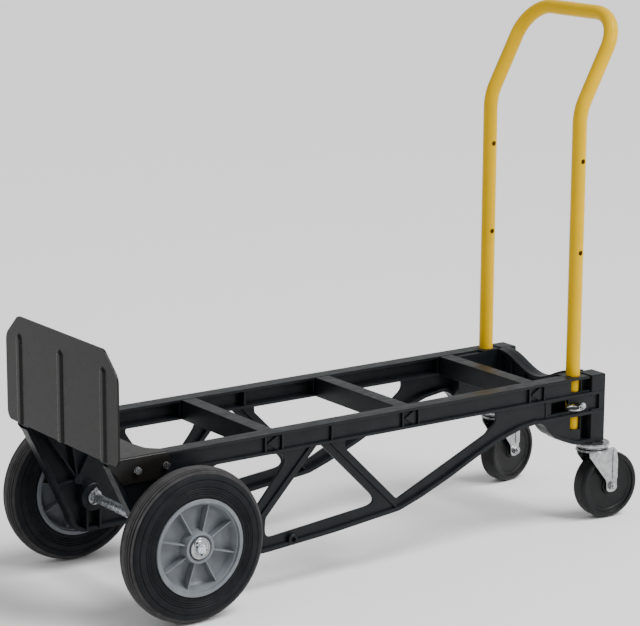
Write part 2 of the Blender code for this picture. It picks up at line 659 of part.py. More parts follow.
# ---------------------------------------------------------------- lock pins and their pull rings
RING_R = 0.0143
RING_WIRE = 0.0014
PIN_TIP = 0.1362
PIN_TAIL = 0.1568
EYE_X = LEG_X - 0.0083
for label, side in SIDES.items():
    origin = (LEG_X, side * PIN_TIP, LOCK_Z)
    pin = rod("lock_pin_" + label, (LEG_X, side * (PIN_TIP + PIN_TAIL) / 2, LOCK_Z), "Y", LOCK_PIN_R,
              PIN_TAIL - PIN_TIP, 16)
    collar = rod("collar", (LEG_X, side * 0.1520, LOCK_Z), "Y", 0.0065, 0.0024, 16)
    tab = box("tab", (EYE_X - 0.0045, side * 0.1544, LOCK_Z - 0.0042),
              (LEG_X, side * (PIN_TAIL - 0.0002), LOCK_Z + 0.0042))
    eye = rod("eye", (EYE_X, side * 0.1556, LOCK_Z), "Y", 0.0020, 0.006, 12)
    finish(cut(join(pin, collar, tab), eye), "zinc", origin)
    wire = [(RING_R + RING_WIRE * math.cos(a),
             RING_WIRE * math.sin(a)) for a in [math.pi * k / 3 for k in range(6)]]
    ring = turned("pull_ring_" + label, wire, 20)
    ring.data.transform(Matrix.Translation((EYE_X - RING_R, side * 0.1556, LOCK_Z)))
    finish(ring, "zinc", origin)


# ---------------------------------------------------------------- casters
FORK_PLATE = 0.0028
FORK_TOP = CASTER_TOP - 0.0110
AXLE_EYE = Vector((CASTER_TRAIL, CASTER_WHEEL_R))
CHEEK = CASTER_WHEEL_HALF + 0.0018


def caster(label, side):
    """Swivel caster: plate with stem, kingpin, race, fork, wheel, bush, bolt and nut."""
    yaw = CASTER_YAW[label]
    pivot = Vector((CASTER_X, side * CASTER_Y, 0.0))
    place = Matrix.Translation(pivot) @ Matrix.Rotation(yaw, 4, "Z")
    swivel_origin = (pivot.x, pivot.y, FORK_TOP)
    hub_centre = place @ Vector((CASTER_TRAIL, 0.0, CASTER_WHEEL_R))

    top = CASTER_TOP - GAP
    plate_profile = [
        (0.0, top + 0.0400), (0.0055, top + 0.0400), (0.0060, top + 0.0385), (0.0060, top), (0.0290, top),
        (0.0310, top - 0.0020), (0.0310, top - 0.0055), (0.0260, top - 0.0070), (0.0075,
                                                                                 top - 0.0070),
                                                                                 (0.0075, top - 0.0105),
        (0.0, top - 0.0105),
    ]
    stem_plate = turned("caster_plate_" + label, plate_profile, 24, pivot)
    finish(stem_plate, "zinc", (pivot.x, pivot.y, top))

    race_top = top - 0.0070 - GAP
    race_profile = [(0.0255, race_top), (0.0275, race_top - 0.0018), (0.0255, FORK_TOP + GAP),
                    (0.0090, FORK_TOP + GAP),
                    (0.0090, race_top)]
    race = turned("caster_race_" + label, race_profile, 24, pivot)
    finish(race, "zinc", swivel_origin)

    crown_outline = rounded([(-0.027, -0.020), (-0.015, -0.029), (0.020, -0.029), (0.030, -0.018),
                             (0.030, 0.018),
                             (0.020, 0.029), (-0.015, 0.029), (-0.027, 0.020)], 0.008, 2)
    crown = plate("caster_fork_" + label, crown_outline, -FORK_TOP, -FORK_TOP + FORK_PLATE)
    crown.data.transform(Matrix.Rotation(-math.pi / 2, 4, "X"))
    cheek_outline = rounded([
        (-0.0200, FORK_TOP - 0.001, 0.0), (0.0380, FORK_TOP - 0.001, 0.008), (0.0425, 0.1080, 0.016),
        (0.0425, CASTER_WHEEL_R - 0.0115, 0.010), (0.0195, CASTER_WHEEL_R - 0.0115, 0.010),
        (0.0190, CASTER_WHEEL_R + 0.0100, 0.012), (-0.0190, 0.1190, 0.010),
    ], 0.01, 3)
    cheeks = []
    for way in (-1, 1):
        cheeks.append(plate("cheek", cheek_outline, way * CHEEK, way * (CHEEK + FORK_PLATE)))
    fork = join(crown, *cheeks)
    fork = cut(fork, rod("kingpin_hole", (0.0, 0.0, FORK_TOP), "Z", 0.0064, 0.02, 24),
               rod("axle_hole", (CASTER_TRAIL, 0.0, CASTER_WHEEL_R), "Y", 0.0046, 0.08, 20))
    fork.data.transform(place)
    finish(fork, "zinc", swivel_origin)

    kingpin_profile = [(0.0, top - 0.0105 - GAP), (0.0060, top - 0.0105 - GAP),
                       (0.0060, FORK_TOP - FORK_PLATE - 2 * GAP),
                       (0.0105, FORK_TOP - FORK_PLATE - 2 * GAP), (0.0095, FORK_TOP - FORK_PLATE - 0.0042),
                       (0.0, FORK_TOP - FORK_PLATE - 0.0050)]
    kingpin = turned("caster_kingpin_" + label, kingpin_profile, 16, pivot)
    finish(kingpin, "zinc", swivel_origin)

    half = CASTER_WHEEL_HALF
    wheel_profile = [
        (CASTER_WHEEL_R - 0.0045, half), (0.0520, half), (0.0490, half - 0.0035), (0.0460,
                                                                                   half - 0.0055),
                                                                                   (0.0180, half - 0.0055),
        (0.0150, half - 0.0005), (0.0074, half - 0.0005),
    ]
    crown_profile = [(CASTER_WHEEL_R, half - 0.0045), (CASTER_WHEEL_R, -half + 0.0045)]
    lower = [(radius, -height) for radius, height in reversed(wheel_profile)]
    wheel_mesh = turned("caster_wheel_" + label,
                        crown_profile[:1] + wheel_profile + lower + crown_profile[1:], 24, axis="Y")
    wheel_place = Matrix.Translation(hub_centre) @ Matrix.Rotation(yaw, 4, "Z")
    wheel_mesh.data.transform(wheel_place)
    finish(wheel_mesh, "hard_rubber", hub_centre)

    bush_half = CHEEK - GAP
    bush = turned("caster_bush_" + label,
                  [(0.0071, bush_half), (0.0071, -bush_half), (0.0044, -bush_half), (0.0044, bush_half)],
                  20, axis="Y")
    bush.data.transform(wheel_place)
    finish(bush, "zinc", hub_centre)

    outer_face = CHEEK + FORK_PLATE + GAP
    bolt = rod("caster_bolt_" + label, (0.0, outer_face + 0.0027, 0.0), "Y", 0.0074, 0.0054, 6)
    shank = rod("shank", (0.0, -0.0035, 0.0), "Y", 0.0041, 2 * outer_face + 0.0120, 16)
    bolt = join(bolt, shank)
    bolt.data.transform(wheel_place)
    finish(bolt, "zinc", hub_centre)
    nut = rod("caster_nut_" + label, (0.0, -outer_face - 0.0031, 0.0), "Y", 0.0078, 0.0062, 6)
    nut = cut(nut, rod("thread", (0.0, -outer_face - 0.0031, 0.0), "Y", 0.0044, 0.02, 16))
    nut.data.transform(wheel_place)
    finish(nut, "zinc", hub_centre)


for label, side in SIDES.items():
    caster(label, side)


# ---------------------------------------------------------------- place the whole truck
def caster_reach(label):
    """How far back the caster wheel's edge lies."""
    yaw = CASTER_YAW[label]
    return CASTER_X + (CASTER_TRAIL + CASTER_WHEEL_R) * math.cos(yaw) + CASTER_WHEEL_HALF * abs(math.sin(yaw))


LENGTH_MIDDLE = (AXLE_X - WHEEL_R + max(caster_reach(label) for label in SIDES)) / 2
truck = bpy.data.objects.new("truck", None)
parts.objects.link(truck)
for obj in parts.objects:
    if obj is not truck:
        obj.parent = truck
truck.location = (-LENGTH_MIDDLE, 0.0, 0.0)
bpy.context.view_layer.update()
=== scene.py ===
import math

import bmesh
import bpy
from mathutils import Matrix, Vector


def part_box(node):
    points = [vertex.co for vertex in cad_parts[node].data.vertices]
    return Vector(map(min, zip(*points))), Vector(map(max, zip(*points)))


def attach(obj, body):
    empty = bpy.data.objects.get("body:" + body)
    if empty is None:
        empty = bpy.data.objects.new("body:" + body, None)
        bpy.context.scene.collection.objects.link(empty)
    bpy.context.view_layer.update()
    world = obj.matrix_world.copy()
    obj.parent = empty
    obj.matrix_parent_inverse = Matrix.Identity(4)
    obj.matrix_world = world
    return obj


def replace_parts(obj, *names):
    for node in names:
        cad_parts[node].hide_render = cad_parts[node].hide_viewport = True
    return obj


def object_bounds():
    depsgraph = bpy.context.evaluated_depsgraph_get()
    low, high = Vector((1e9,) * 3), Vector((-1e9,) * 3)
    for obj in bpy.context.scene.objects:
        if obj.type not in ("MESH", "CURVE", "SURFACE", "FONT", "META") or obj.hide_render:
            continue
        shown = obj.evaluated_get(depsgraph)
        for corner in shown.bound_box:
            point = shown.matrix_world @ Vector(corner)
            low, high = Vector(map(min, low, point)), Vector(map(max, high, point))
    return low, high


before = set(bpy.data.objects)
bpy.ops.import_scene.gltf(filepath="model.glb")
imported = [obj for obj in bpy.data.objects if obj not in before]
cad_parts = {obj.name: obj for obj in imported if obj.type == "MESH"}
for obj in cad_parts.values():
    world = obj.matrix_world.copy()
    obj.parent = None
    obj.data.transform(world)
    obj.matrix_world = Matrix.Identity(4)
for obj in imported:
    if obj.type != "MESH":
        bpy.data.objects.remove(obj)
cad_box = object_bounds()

# ======== side frames
# Two mirror-image trusses moulded in glass-filled nylon.  Each has a channel rail on top, a web
# with three triangular openings, a flanged foot that sweeps up to the handle end, and a corner
# block that takes the handle's leg from above and the caster's stem from below.
#
# Points are written in metres from the nose plate's front along X, from the middle along Y and
# from the floor up along Z.  DECK moves them to where the truck stands.
SIDES = {"near": -1, "far": 1}
GAP = 0.0003  # left between two pieces that touch
RAIL_START = 0.004
DECK = Matrix.Translation((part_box("side_frame_near")[0].x - RAIL_START, 0.0, 0.0))
DECK_TOP = 0.2683
RAIL_OUT, RAIL_IN = 0.1453, 0.1173
RAIL_BOTTOM = 0.2335
RAIL_FLANGE = 0.0048
FRAME_END = 1.0205
WEB_IN, WEB_OUT = 0.1338, 0.1388
FOOT_IN, FOOT_OUT = 0.1225, 0.1448
FOOT_FLANGE = 0.0075
RIB = 0.0036
MIDDLE_RIB_X, RIB_STEP = 0.4265, 0.0165
BLOCK_IN, BLOCK_PANEL = 0.105, 0.1405
BLOCK_FOOT = 0.1446
CROSSBAR_X = (0.3118, 0.5884, 0.8638)
LEG_X, LEG_Y = 0.9615, 0.1227
SOCKET_R = 0.0132
LOCK_Z = 0.2175
AXLE_X, AXLE_R, WHEEL_R = 0.1247, 0.0079, 0.127
AXLE_BORE = AXLE_R + GAP
CASTER_X, CASTER_Y = 1.001, 0.135
NOSE_BOLTS = ((0.052, 0.249), (0.104, 0.249))
BOLT_HOLE_R = 0.0034
TIE_HOLE, TIE_HOLE_R = (0.348, 0.0815), 0.0045

PLANES = {
    "XZ": (Matrix.Rotation(math.pi / 2, 4, "X"), Vector((0.0, 1.0, 0.0))),
    "YZ": (Matrix(((0, 0, 1, 0), (1, 0, 0, 0), (0, 1, 0, 0), (0, 0, 0, 1))), Vector((1.0, 0.0, 0.0))),
    "XY": (Matrix.Identity(4), Vector((0.0, 0.0, 1.0))),
}
TURN = {
    "X": Matrix.Rotation(math.pi / 2, 4, "Y"),
    "Y": Matrix.Rotation(-math.pi / 2, 4, "X"),
    "Z": Matrix.Identity(4),
}


def shell_from(bm):
    """Close a bmesh into a loose shell with its faces pointing out."""
    bmesh.ops.remove_doubles(bm, verts=bm.verts, dist=0.000002)
    bmesh.ops.recalc_face_normals(bm, faces=bm.faces)
    mesh = bpy.data.meshes.new("shell")
    bm.to_mesh(mesh)
    bm.free()
    shell = bpy.data.objects.new("shell", mesh)
    bpy.context.scene.collection.objects.link(shell)
    return shell


def settled(shell):
    """Turn a curve, or a mesh with modifiers, into a plain shell."""
    bpy.context.view_layer.update()
    graph = bpy.context.evaluated_depsgraph_get()
    mesh = bpy.data.meshes.new_from_object(shell.evaluated_get(graph))
    mesh.transform(shell.matrix_world)
    bm = bmesh.new()
    bm.from_mesh(mesh)
    bpy.data.objects.remove(shell)
    bpy.data.meshes.remove(mesh)
    return shell_from(bm)


def outlined(outline, depth_from, depth_to, plane="XZ", holes=(), edge=0.0008):
    """A flat outline with holes, given a thickness and rounded edges."""
    curve = bpy.data.curves.new("outline", "CURVE")
    curve.dimensions = "2D"
    curve.fill_mode = "BOTH"
    curve.bevel_depth = edge
    curve.bevel_resolution = 1
    curve.offset = -edge
    curve.extrude = abs(depth_to - depth_from) / 2 - edge
    for loop in (outline, *holes):
        spline = curve.splines.new("POLY")
        spline.points.add(len(loop) - 1)
        for point, (a, b) in zip(spline.points, loop):
            point.co = (a, b, 0.0, 1.0)
        spline.use_cyclic_u = True
    shell = bpy.data.objects.new("outline", curve)
    bpy.context.scene.collection.objects.link(shell)
    turn, depth_way = PLANES[plane]
    shell.matrix_world = Matrix.Translation(depth_way * (depth_from + depth_to) / 2) @ turn
    return settled(shell)


def block(low, high, edge=0.0009):
    """A block between two corners, with rounded edges."""
    low, high = Vector(low), Vector(high)
    bm = bmesh.new()
    bmesh.ops.create_cube(bm, size=1.0)
    bmesh.ops.scale(bm, vec=[abs(a - b) for a, b in zip(high, low)], verts=bm.verts)
    bmesh.ops.translate(bm, vec=(low + high) / 2, verts=bm.verts)
    if edge:
        bmesh.ops.bevel(bm, geom=bm.edges[:], offset=edge, segments=2, profile=0.5, affect="EDGES")
    return shell_from(bm)


def rod(centre, axis, radius, length, sides=40, edge=0.0):
    """A round bar, or a prism with few sides, along one axis."""
    bm = bmesh.new()
    bmesh.ops.create_cone(bm, cap_ends=True, segments=sides, radius1=radius, radius2=radius, depth=length)
    if edge:
        rims = [e for e in bm.edges if abs(e.verts[0].co.z - e.verts[1].co.z) < 1e-6]
        bmesh.ops.bevel(bm, geom=rims, offset=edge, segments=2, profile=0.5, affect="EDGES")
    bmesh.ops.transform(bm, matrix=Matrix.Translation(centre) @ TURN[axis], verts=bm.verts)
    return shell_from(bm)


def turned(profile, steps, centre=(0.0, 0.0, 0.0), axis="Z"):
    """Screw a closed profile of (radius, height) points about an axis."""
    mesh = bpy.data.meshes.new("profile")
    edges = [(i, (i + 1) % len(profile)) for i in range(len(profile))]
    if profile[0][0] == 0.0 and profile[-1][0] == 0.0:
        edges.pop()
    mesh.from_pydata([(radius, 0.0, height) for radius, height in profile], edges, [])
    shell = bpy.data.objects.new("profile", mesh)
    bpy.context.scene.collection.objects.link(shell)
    screw = shell.modifiers.new("turn", "SCREW")
    screw.steps = steps
    screw.render_steps = steps
    screw.use_merge_vertices = True
    screw.merge_threshold = 0.00001
    shell.matrix_world = Matrix.Translation(centre) @ TURN[axis]
    return settled(shell)


def combined(shell, tools, operation):
    """Join the tools to the shell, or cut them from it, and remove them."""
    for tool in tools:
        change = shell.modifiers.new(operation, "BOOLEAN")
        change.operation = operation
        change.object = tool
    result = settled(shell)
    for tool in tools:
        bpy.data.objects.remove(tool)
    bm = bmesh.new()
    bm.from_mesh(result.data)
    bmesh.ops.dissolve_limit(bm, angle_limit=0.0008, verts=bm.verts, edges=bm.edges)
    bm.to_mesh(result.data)
    bm.free()
    return result


def joined(shell, *tools):
    """Add tools to a shell."""
    return combined(shell, tools, "UNION")


def cut(shell, *tools):
    """Take tools out of a shell."""
    return combined(shell, tools, "DIFFERENCE")


def softened(shell, width):
    """Round the sharp edges of a cut shell."""
    bevel = shell.modifiers.new("soft_edges", "BEVEL")
    bevel.width = width
    bevel.segments = 2
    bevel.limit_method = "ANGLE"
    bevel.angle_limit = math.radians(30)
    return settled(shell)


def assembled(name, shells, look, place=DECK, sharp=38):
    """Bring a piece's shells together in one mesh, at its place on the truck."""
    bm = bmesh.new()
    for shell in shells:
        bm.from_mesh(shell.data)
        bpy.data.objects.remove(shell)
    bmesh.ops.transform(bm, matrix=place, verts=bm.verts)
    mesh = bpy.data.meshes.new(name)
    bm.to_mesh(mesh)
    bm.free()
    piece = bpy.data.objects.new(name, mesh)
    bpy.context.scene.collection.objects.link(piece)
    mesh.materials.append(look)
    mesh.shade_smooth()
    mesh.set_sharp_from_angle(angle=math.radians(sharp))
    even = piece.modifiers.new("even_faces", "WEIGHTED_NORMAL")
    even.keep_sharp = True
    return piece


def rounded(points, radius, steps=6, closed=True):
    """Ease each corner of a flat outline into an arc; a corner may carry its own radius."""
    outline = []
    count = len(points)
    for i, corner in enumerate(points):
        here = Vector(corner[:2])
        if not closed and i in (0, count - 1):
            outline.append(tuple(here))
            continue
        before = Vector(points[i - 1][:2]) - here
        after = Vector(points[(i + 1) % count][:2]) - here
        bend = corner[2] if len(corner) > 2 else radius
        if bend <= 0.0:
            outline.append(tuple(here))
            continue
        half = before.angle(after) / 2
        reach = min(bend / math.tan(half), 0.48 * before.length, 0.48 * after.length)
        start = here + before.normalized() * reach
        end = here + after.normalized() * reach
        for k in range(steps + 1):
            t = k / steps
            outline.append(tuple(start * (1 - t) ** 2 + here * 2 * t * (1 - t) + end * t ** 2))
    return outline


def offset_path(path, distance):
    """An open path moved to its left by a distance."""
    moved = []
    for i, point in enumerate(path):
        here = Vector(point)
        ways = []
        if i > 0:
            ways.append((here - Vector(path[i - 1])).normalized())
        if i < len(path) - 1:
            ways.append((Vector(path[i + 1]) - here).normalized())
        normals = [Vector((-way.y, way.x)) for way in ways]
        middle = sum(normals, Vector((0.0, 0.0))).normalized()
        moved.append(tuple(here + middle * distance / middle.dot(normals[0])))
    return moved


def ring_of(centre, radius, count=28):
    """A circle as a flat outline."""
    return [(centre[0] + radius * math.cos(2 * math.pi * k / count),
             centre[1] + radius * math.sin(2 * math.pi * k / count)) for k in range(count)]


def corners(x_from, x_to, z_from, z_to):
    """A rectangle as a flat outline."""
    return [(x_from, z_from), (x_to, z_from), (x_to, z_to), (x_from, z_to)]


def mirrored(half):
    """A closed profile from the half above its middle plane."""
    return half + [(radius, -height) for radius, height in reversed(half)]


def bar_between(start, end, side, inner, outer):
    """A straight rib standing on the web between two points of the XZ plane."""
    a, b = Vector(start), Vector(end)
    along = (b - a).normalized()
    across = Vector((-along.y, along.x)) * RIB / 2
    outline = [tuple(a - across), tuple(b - across), tuple(b + across), tuple(a + across)]
    return outlined(outline, side * inner, side * outer, edge=0.0007)


def new_look(name, colour, roughness, metallic=0.0, specular=0.5, tinted=False):
    """A Principled material and its node tree; a tinted one reflects in its own colour."""
    look = bpy.data.materials.new(name)
    look.use_nodes = True
    shader = look.node_tree.nodes["Principled BSDF"]
    shader.inputs["Base Color"].default_value = (*colour, 1.0)
    shader.inputs["Roughness"].default_value = roughness
    shader.inputs["Metallic"].default_value = metallic
    shader.inputs["Specular IOR Level"].default_value = specular
    if tinted:
        shader.inputs["Specular Tint"].default_value = (*colour, 1.0)
    return look, look.node_tree, shader


def add_node(tree, kind, links=(), **values):
    """Add one node, set its sockets by name, and link its inputs."""
    node = tree.nodes.new(kind)
    for socket, value in values.items():
        node.inputs[socket].default_value = value
    for source, target in links:
        tree.links.new(source, node.inputs[target])
    return node


def cloudy(tree, scale, detail, stretch=(1.0, 1.0, 1.0)):
    """Noise over the truck's own coordinates, in patches of about 1 / scale metres."""
    where = add_node(tree, "ShaderNodeTexCoord")
    mapping = add_node(tree, "ShaderNodeMapping", [(where.outputs["Object"], "Vector")], Scale=stretch)
    return add_node(tree, "ShaderNodeTexNoise", [(mapping.outputs["Vector"], "Vector")], Scale=scale,
                    Detail=detail)


def spread(tree, shader, socket, noise, low, high):
    """Let a noise carry a number or a colour of the shader between two values."""
    ramp = add_node(tree, "ShaderNodeValToRGB", [(noise.outputs["Fac"], "Fac")])
    for element, place, value in zip(ramp.color_ramp.elements, (0.32, 0.68), (low, high)):
        element.position = place
        element.color = (*value, 1.0) if isinstance(value, tuple) else (value, value, value, 1.0)
    tree.links.new(ramp.outputs["Color"], shader.inputs[socket])


def grained(tree, shader, grains):
    """Raise a fine grain on the surface, one bump after another."""
    last = None
    for noise, height in grains:
        links = [(noise.outputs["Fac"], "Height")]
        if last:
            links.append((last.outputs["Normal"], "Normal"))
        last = add_node(tree, "ShaderNodeBump", links, Strength=1.0, Distance=height)
    tree.links.new(last.outputs["Normal"], shader.inputs["Normal"])


def finished(name, colour, roughness, metallic, specular, colours, roughs, grains, tinted=False):
    """A look whose colour and roughness drift in patches, under one or more fine grains."""
    look, tree, shader = new_look(name, colour, roughness, metallic, specular, tinted)
    for socket, (patches, low, high) in (("Base Color", colours), ("Roughness", roughs)):
        spread(tree, shader, socket, cloudy(tree, *patches), low, high)
    grained(tree, shader, [(cloudy(tree, *patches), height) for patches, height in grains])
    return look


# black glass-filled nylon: satin, a little cloudy, with the fine grain of the fibres
NYLON = finished(
    "moulded_nylon", (0.006, 0.008, 0.01), 0.36, 0.0, 0.18,
    ((38.0, 6.0), (0.0035, 0.0048, 0.0062), (0.0068, 0.0085, 0.0102)),
    ((90.0, 5.0, (0.4, 1.0, 1.0)), 0.3, 0.44),
    (((1900.0, 2.0), 0.00006), ((240.0, 3.0), 0.0001)))

FOOT_POINTS = [
    (RAIL_START, RAIL_BOTTOM + 0.026), (0.079, 0.1), (0.086, 0.078), (0.103, 0.066), (0.2, 0.066),
    (0.3, 0.0685), (0.43, 0.078), (0.566, 0.0925), (0.61, 0.107), (0.672, 0.132), (0.733, 0.16),
    (0.781, 0.1795), (0.825, 0.1925), (0.868, 0.1985), (0.883, 0.191), (0.894, 0.176), (0.905, 0.166),
    (0.922, 0.1575), (0.945, 0.1485), (0.96, BLOCK_FOOT), (FRAME_END - 0.001, BLOCK_FOOT),
]
WEB_TO, BLOCK_FROM = 13, 14  # the points of the foot where the web ends and the block starts
FRONT_OPENING = [(0.19, 0.231, 0.01), (0.352, 0.231, 0.02), (0.262, 0.126, 0.012)]
MIDDLE_OPENING = [(0.403, 0.236, 0.004), (0.5265, 0.1125, 0.014), (0.296, 0.0905, 0.018),
                  (0.298, 0.125, 0.012)]
REAR_OPENING = [(0.456, 0.234, 0.012), (0.457, 0.2185, 0.008), (0.564, 0.112, 0.008),
                (0.752, 0.195, 0.022), (0.777, 0.214, 0.016), (0.775, 0.234, 0.006)]
DIAGONALS = (((0.388, 0.236), (0.281, 0.125)), ((0.423, 0.236), (0.563, 0.097)),
             ((0.165, 0.236), (0.259, 0.0725)), ((0.284, 0.13), (0.266, 0.0735)))
AXLE_BOSS_R = 0.024
LIP_START = 0.162
FAN_NODE = (0.098, 0.16)
FAN_TIPS = ((0.03, 0.262), (0.084, 0.262), (0.158, 0.262), (0.055, 0.153), (0.111, 0.144))


def leg_bore(side):
    """What is bored out for one leg of the handle."""
    return rod((LEG_X, side * LEG_Y, 0.2305), "Z", SOCKET_R, 0.12)


def corner_block(side):
    """The block at the handle end, with its sockets, windows and pockets."""
    foot = rounded(FOOT_POINTS, 0.06, 4, closed=False)
    start = next(i for i, p in enumerate(foot) if p[0] > FOOT_POINTS[BLOCK_FROM][0])
    panel = offset_path(foot, 0.002)[start:] + [(FRAME_END - 0.003, DECK_TOP - 0.003),
                                                (0.884, DECK_TOP - 0.003)]
    body = outlined(panel, side * BLOCK_IN, side * BLOCK_PANEL, edge=0.001)
    column = block((0.988, side * (BLOCK_IN + 0.0006), BLOCK_FOOT - 0.0006),
                   (FRAME_END, side * (RAIL_OUT - 0.0008), DECK_TOP - 0.0006), 0.0022)
    collar = block((0.9395, side * (BLOCK_IN - 0.0004), DECK_TOP - 0.012),
                   (0.978, side * 0.13, DECK_TOP + 0.0006), 0.0012)
    solid = joined(body, column, collar)
    # the upright and the level socket, the lock pin's bore and the stem's bore
    bores = (
        leg_bore(side),
        rod((0.964, side * LEG_Y, LOCK_Z), "X", SOCKET_R, 0.134),
        rod((LEG_X, side * 0.135, LOCK_Z), "Y", 0.0041, 0.03, 24),
        rod((CASTER_X, side * CASTER_Y, 0.1585), "Z", 0.0063, 0.055, 24),
    )
    # the windows that show the leg, the pockets beside them, the lock's recess with its slot for
    # the ring, and the mortise for the saddle's tenon
    pockets = (
        block((0.943, side * 0.126, 0.241), (0.966, side * 0.15, 0.262), 0.0),
        block((0.943, side * 0.126, 0.1725), (0.966, side * 0.15, 0.1965), 0.0),
        block((0.9675, side * 0.128, 0.241), (0.988, side * 0.15, 0.262), 0.0),
        block((0.9675, side * 0.126, 0.151), (0.9865, side * 0.15, 0.1965), 0.0),
        block((0.908, side * 0.1392, 0.2055), (1.006, side * 0.15, 0.232), 0.0),
        block((0.8905, side * 0.127, 0.208), (0.9385, side * 0.15, 0.2295), 0.0),
        block((0.938, side * 0.127, LOCK_Z - 0.0026), (0.959, side * 0.15, LOCK_Z + 0.0026), 0.0),
        block((0.9795, side * 0.1, 0.237), (1.0005, side * 0.118, 0.261), 0.0),
    )
    return softened(cut(solid, *bores, *pockets), 0.0006)


def side_frame(name, side):
    """One truss, shell by shell."""
    foot = rounded(FOOT_POINTS, 0.06, 5, closed=False)
    web_edge = [p for p in offset_path(foot, 0.003) if p[0] < FOOT_POINTS[WEB_TO][0]]
    web = web_edge + [(0.9, 0.2), (0.9, DECK_TOP - 0.002), (RAIL_START + 0.001, DECK_TOP - 0.002)]
    holes = [rounded(loop, 0.01) for loop in (FRONT_OPENING, MIDDLE_OPENING, REAR_OPENING)]
    holes += [corners(x - 0.0125, x + 0.0125, 0.2405, 0.262) for x in CROSSBAR_X]
    holes += [ring_of((AXLE_X, WHEEL_R), AXLE_BORE), ring_of(TIE_HOLE, TIE_HOLE_R)]
    holes += [ring_of(place, BOLT_HOLE_R) for place in NOSE_BOLTS]
    shells = [outlined(web, side * WEB_IN, side * WEB_OUT, holes=holes, edge=0.001)]

    # the channel rail: its top, and the lip below
    rail_top = block((RAIL_START, side * RAIL_IN, DECK_TOP - RAIL_FLANGE),
                     (0.98, side * RAIL_OUT, DECK_TOP), 0.0)
    rail_lip = block((LIP_START, side * RAIL_IN, RAIL_BOTTOM),
                     (1.018, side * RAIL_OUT, RAIL_BOTTOM + RAIL_FLANGE), 0.0)
    shells += [softened(cut(rail, leg_bore(side)), 0.0011) for rail in (rail_top, rail_lip)]

    # the flange along the foot, then the ribs beside the crossbars and along the diagonals
    flange = outlined(list(foot) + offset_path(foot, FOOT_FLANGE)[::-1], side * FOOT_IN, side * FOOT_OUT,
                      edge=0.0014)
    shells.append(cut(flange, rod((TIE_HOLE[0], side * 0.134, TIE_HOLE[1]), "Y", TIE_HOLE_R, 0.04, 28)))

    for x in [MIDDLE_RIB_X] + [bar + step for bar in CROSSBAR_X for step in (-RIB_STEP, RIB_STEP)]:
        shells.append(block((x - RIB / 2, side * (RAIL_IN + 0.001), RAIL_BOTTOM + 0.001),
                            (x + RIB / 2, side * (RAIL_OUT - 0.0015), DECK_TOP - 0.001)))
    for start, end in DIAGONALS:
        shells.append(bar_between(start, end, side, FOOT_IN + 0.004, RAIL_OUT - 0.003))

    # the axle's boss, two short ribs down to the foot, and the fan of ribs above it
    boss = [(AXLE_BOSS_R, 0.0165), (AXLE_BOSS_R - 0.001, 0.0175), (0.0095, 0.0175), (AXLE_BORE, 0.0163)]
    shells.append(turned(mirrored(boss), 64, (AXLE_X, side * 0.1325, WHEEL_R), "Y"))
    for x in (0.112, 0.137):
        shells.append(bar_between((x, 0.07), (x, 0.107), side, 0.1185, 0.1365))
    for tip in FAN_TIPS:
        shells.append(bar_between(FAN_NODE, tip, side, 0.124, 0.1365))
    shells.append(rod((FAN_NODE[0], side * 0.129, FAN_NODE[1]), "Y", 0.008, 0.016, 32, 0.0008))
    # the raised ring around the tie hole, and the ledge that meets the corner block
    ring = [(0.009, 0.0052), (0.0082, 0.006), (TIE_HOLE_R, 0.006), (TIE_HOLE_R, -0.006), (0.009, -0.006)]
    shells.append(turned([(radius, side * height) for radius, height in ring], 32,
                         (TIE_HOLE[0], side * 0.1403, TIE_HOLE[1]), "Y"))
    shells.append(block((0.864, side * 0.13, 0.1975), (1.018, side * RAIL_OUT, 0.2035)))
    shells.append(corner_block(side))

    piece = assembled(name, shells, NYLON)
    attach(piece, "frame")
    return piece


for label, side in SIDES.items():
    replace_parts(side_frame("truss_" + label, side), "side_frame_" + label)

# ======== crossbars
# Three moulded channels that drop between the rails.  A tongue at each end goes through a slot
# in the frame's web, and a wedge-shaped hook snaps out over the slot's edge.
BAR_HALF = 0.0141
BAR_REACH = RAIL_IN - GAP


def crossbar(name, x):
    """One channel with its inner stiffeners, tongues and hooks."""
    body = block((x - BAR_HALF, -BAR_REACH, RAIL_BOTTOM), (x + BAR_HALF, BAR_REACH, DECK_TOP - 0.0005),
                 0.0)
    hollow = block((x - BAR_HALF + 0.004, -0.108, RAIL_BOTTOM - 0.01),
                   (x + BAR_HALF - 0.004, 0.108, DECK_TOP - 0.005), 0.0)
    shells = [softened(cut(body, hollow), 0.0012)]
    for y in (-0.054, 0.0, 0.054):
        shells.append(block((x - BAR_HALF + 0.002, y - 0.002, RAIL_BOTTOM + 0.002),
                            (x + BAR_HALF - 0.002, y + 0.002, DECK_TOP - 0.003)))
    for side in SIDES.values():
        shells.append(block((x - 0.0122, side * 0.11, 0.2408), (x + 0.0122, side * 0.1401, 0.2617)))
        wedge = rounded([(x - 0.0138, 0.2512), (x + 0.006, 0.2396), (x + 0.006, 0.2628)], 0.0015, 3)
        shells.append(outlined(wedge, side * 0.1391, side * 0.1438, edge=0.0009))
        for step in (0.2445, 0.249, 0.2535, 0.258):
            shells.append(block((x + 0.0072, side * 0.1395, step - 0.0009),
                                (x + 0.0118, side * 0.1416, step + 0.0009), 0.0004))
    return assembled(name, shells, NYLON)


for node, x in zip(("crossbar_front", "crossbar_middle", "crossbar_rear"), CROSSBAR_X):
    piece = crossbar(node + "_moulding", x)
    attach(piece, "frame")
    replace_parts(piece, node)

# ======== end cross member
# A moulded saddle that closes the frame at the handle end.  Its flanged top edge dips in the
# middle so that a drum or a cylinder can lie in it; short tenons key it into both blocks.
SADDLE_REACH = BLOCK_IN - 0.0013
SADDLE_DIP = 0.029


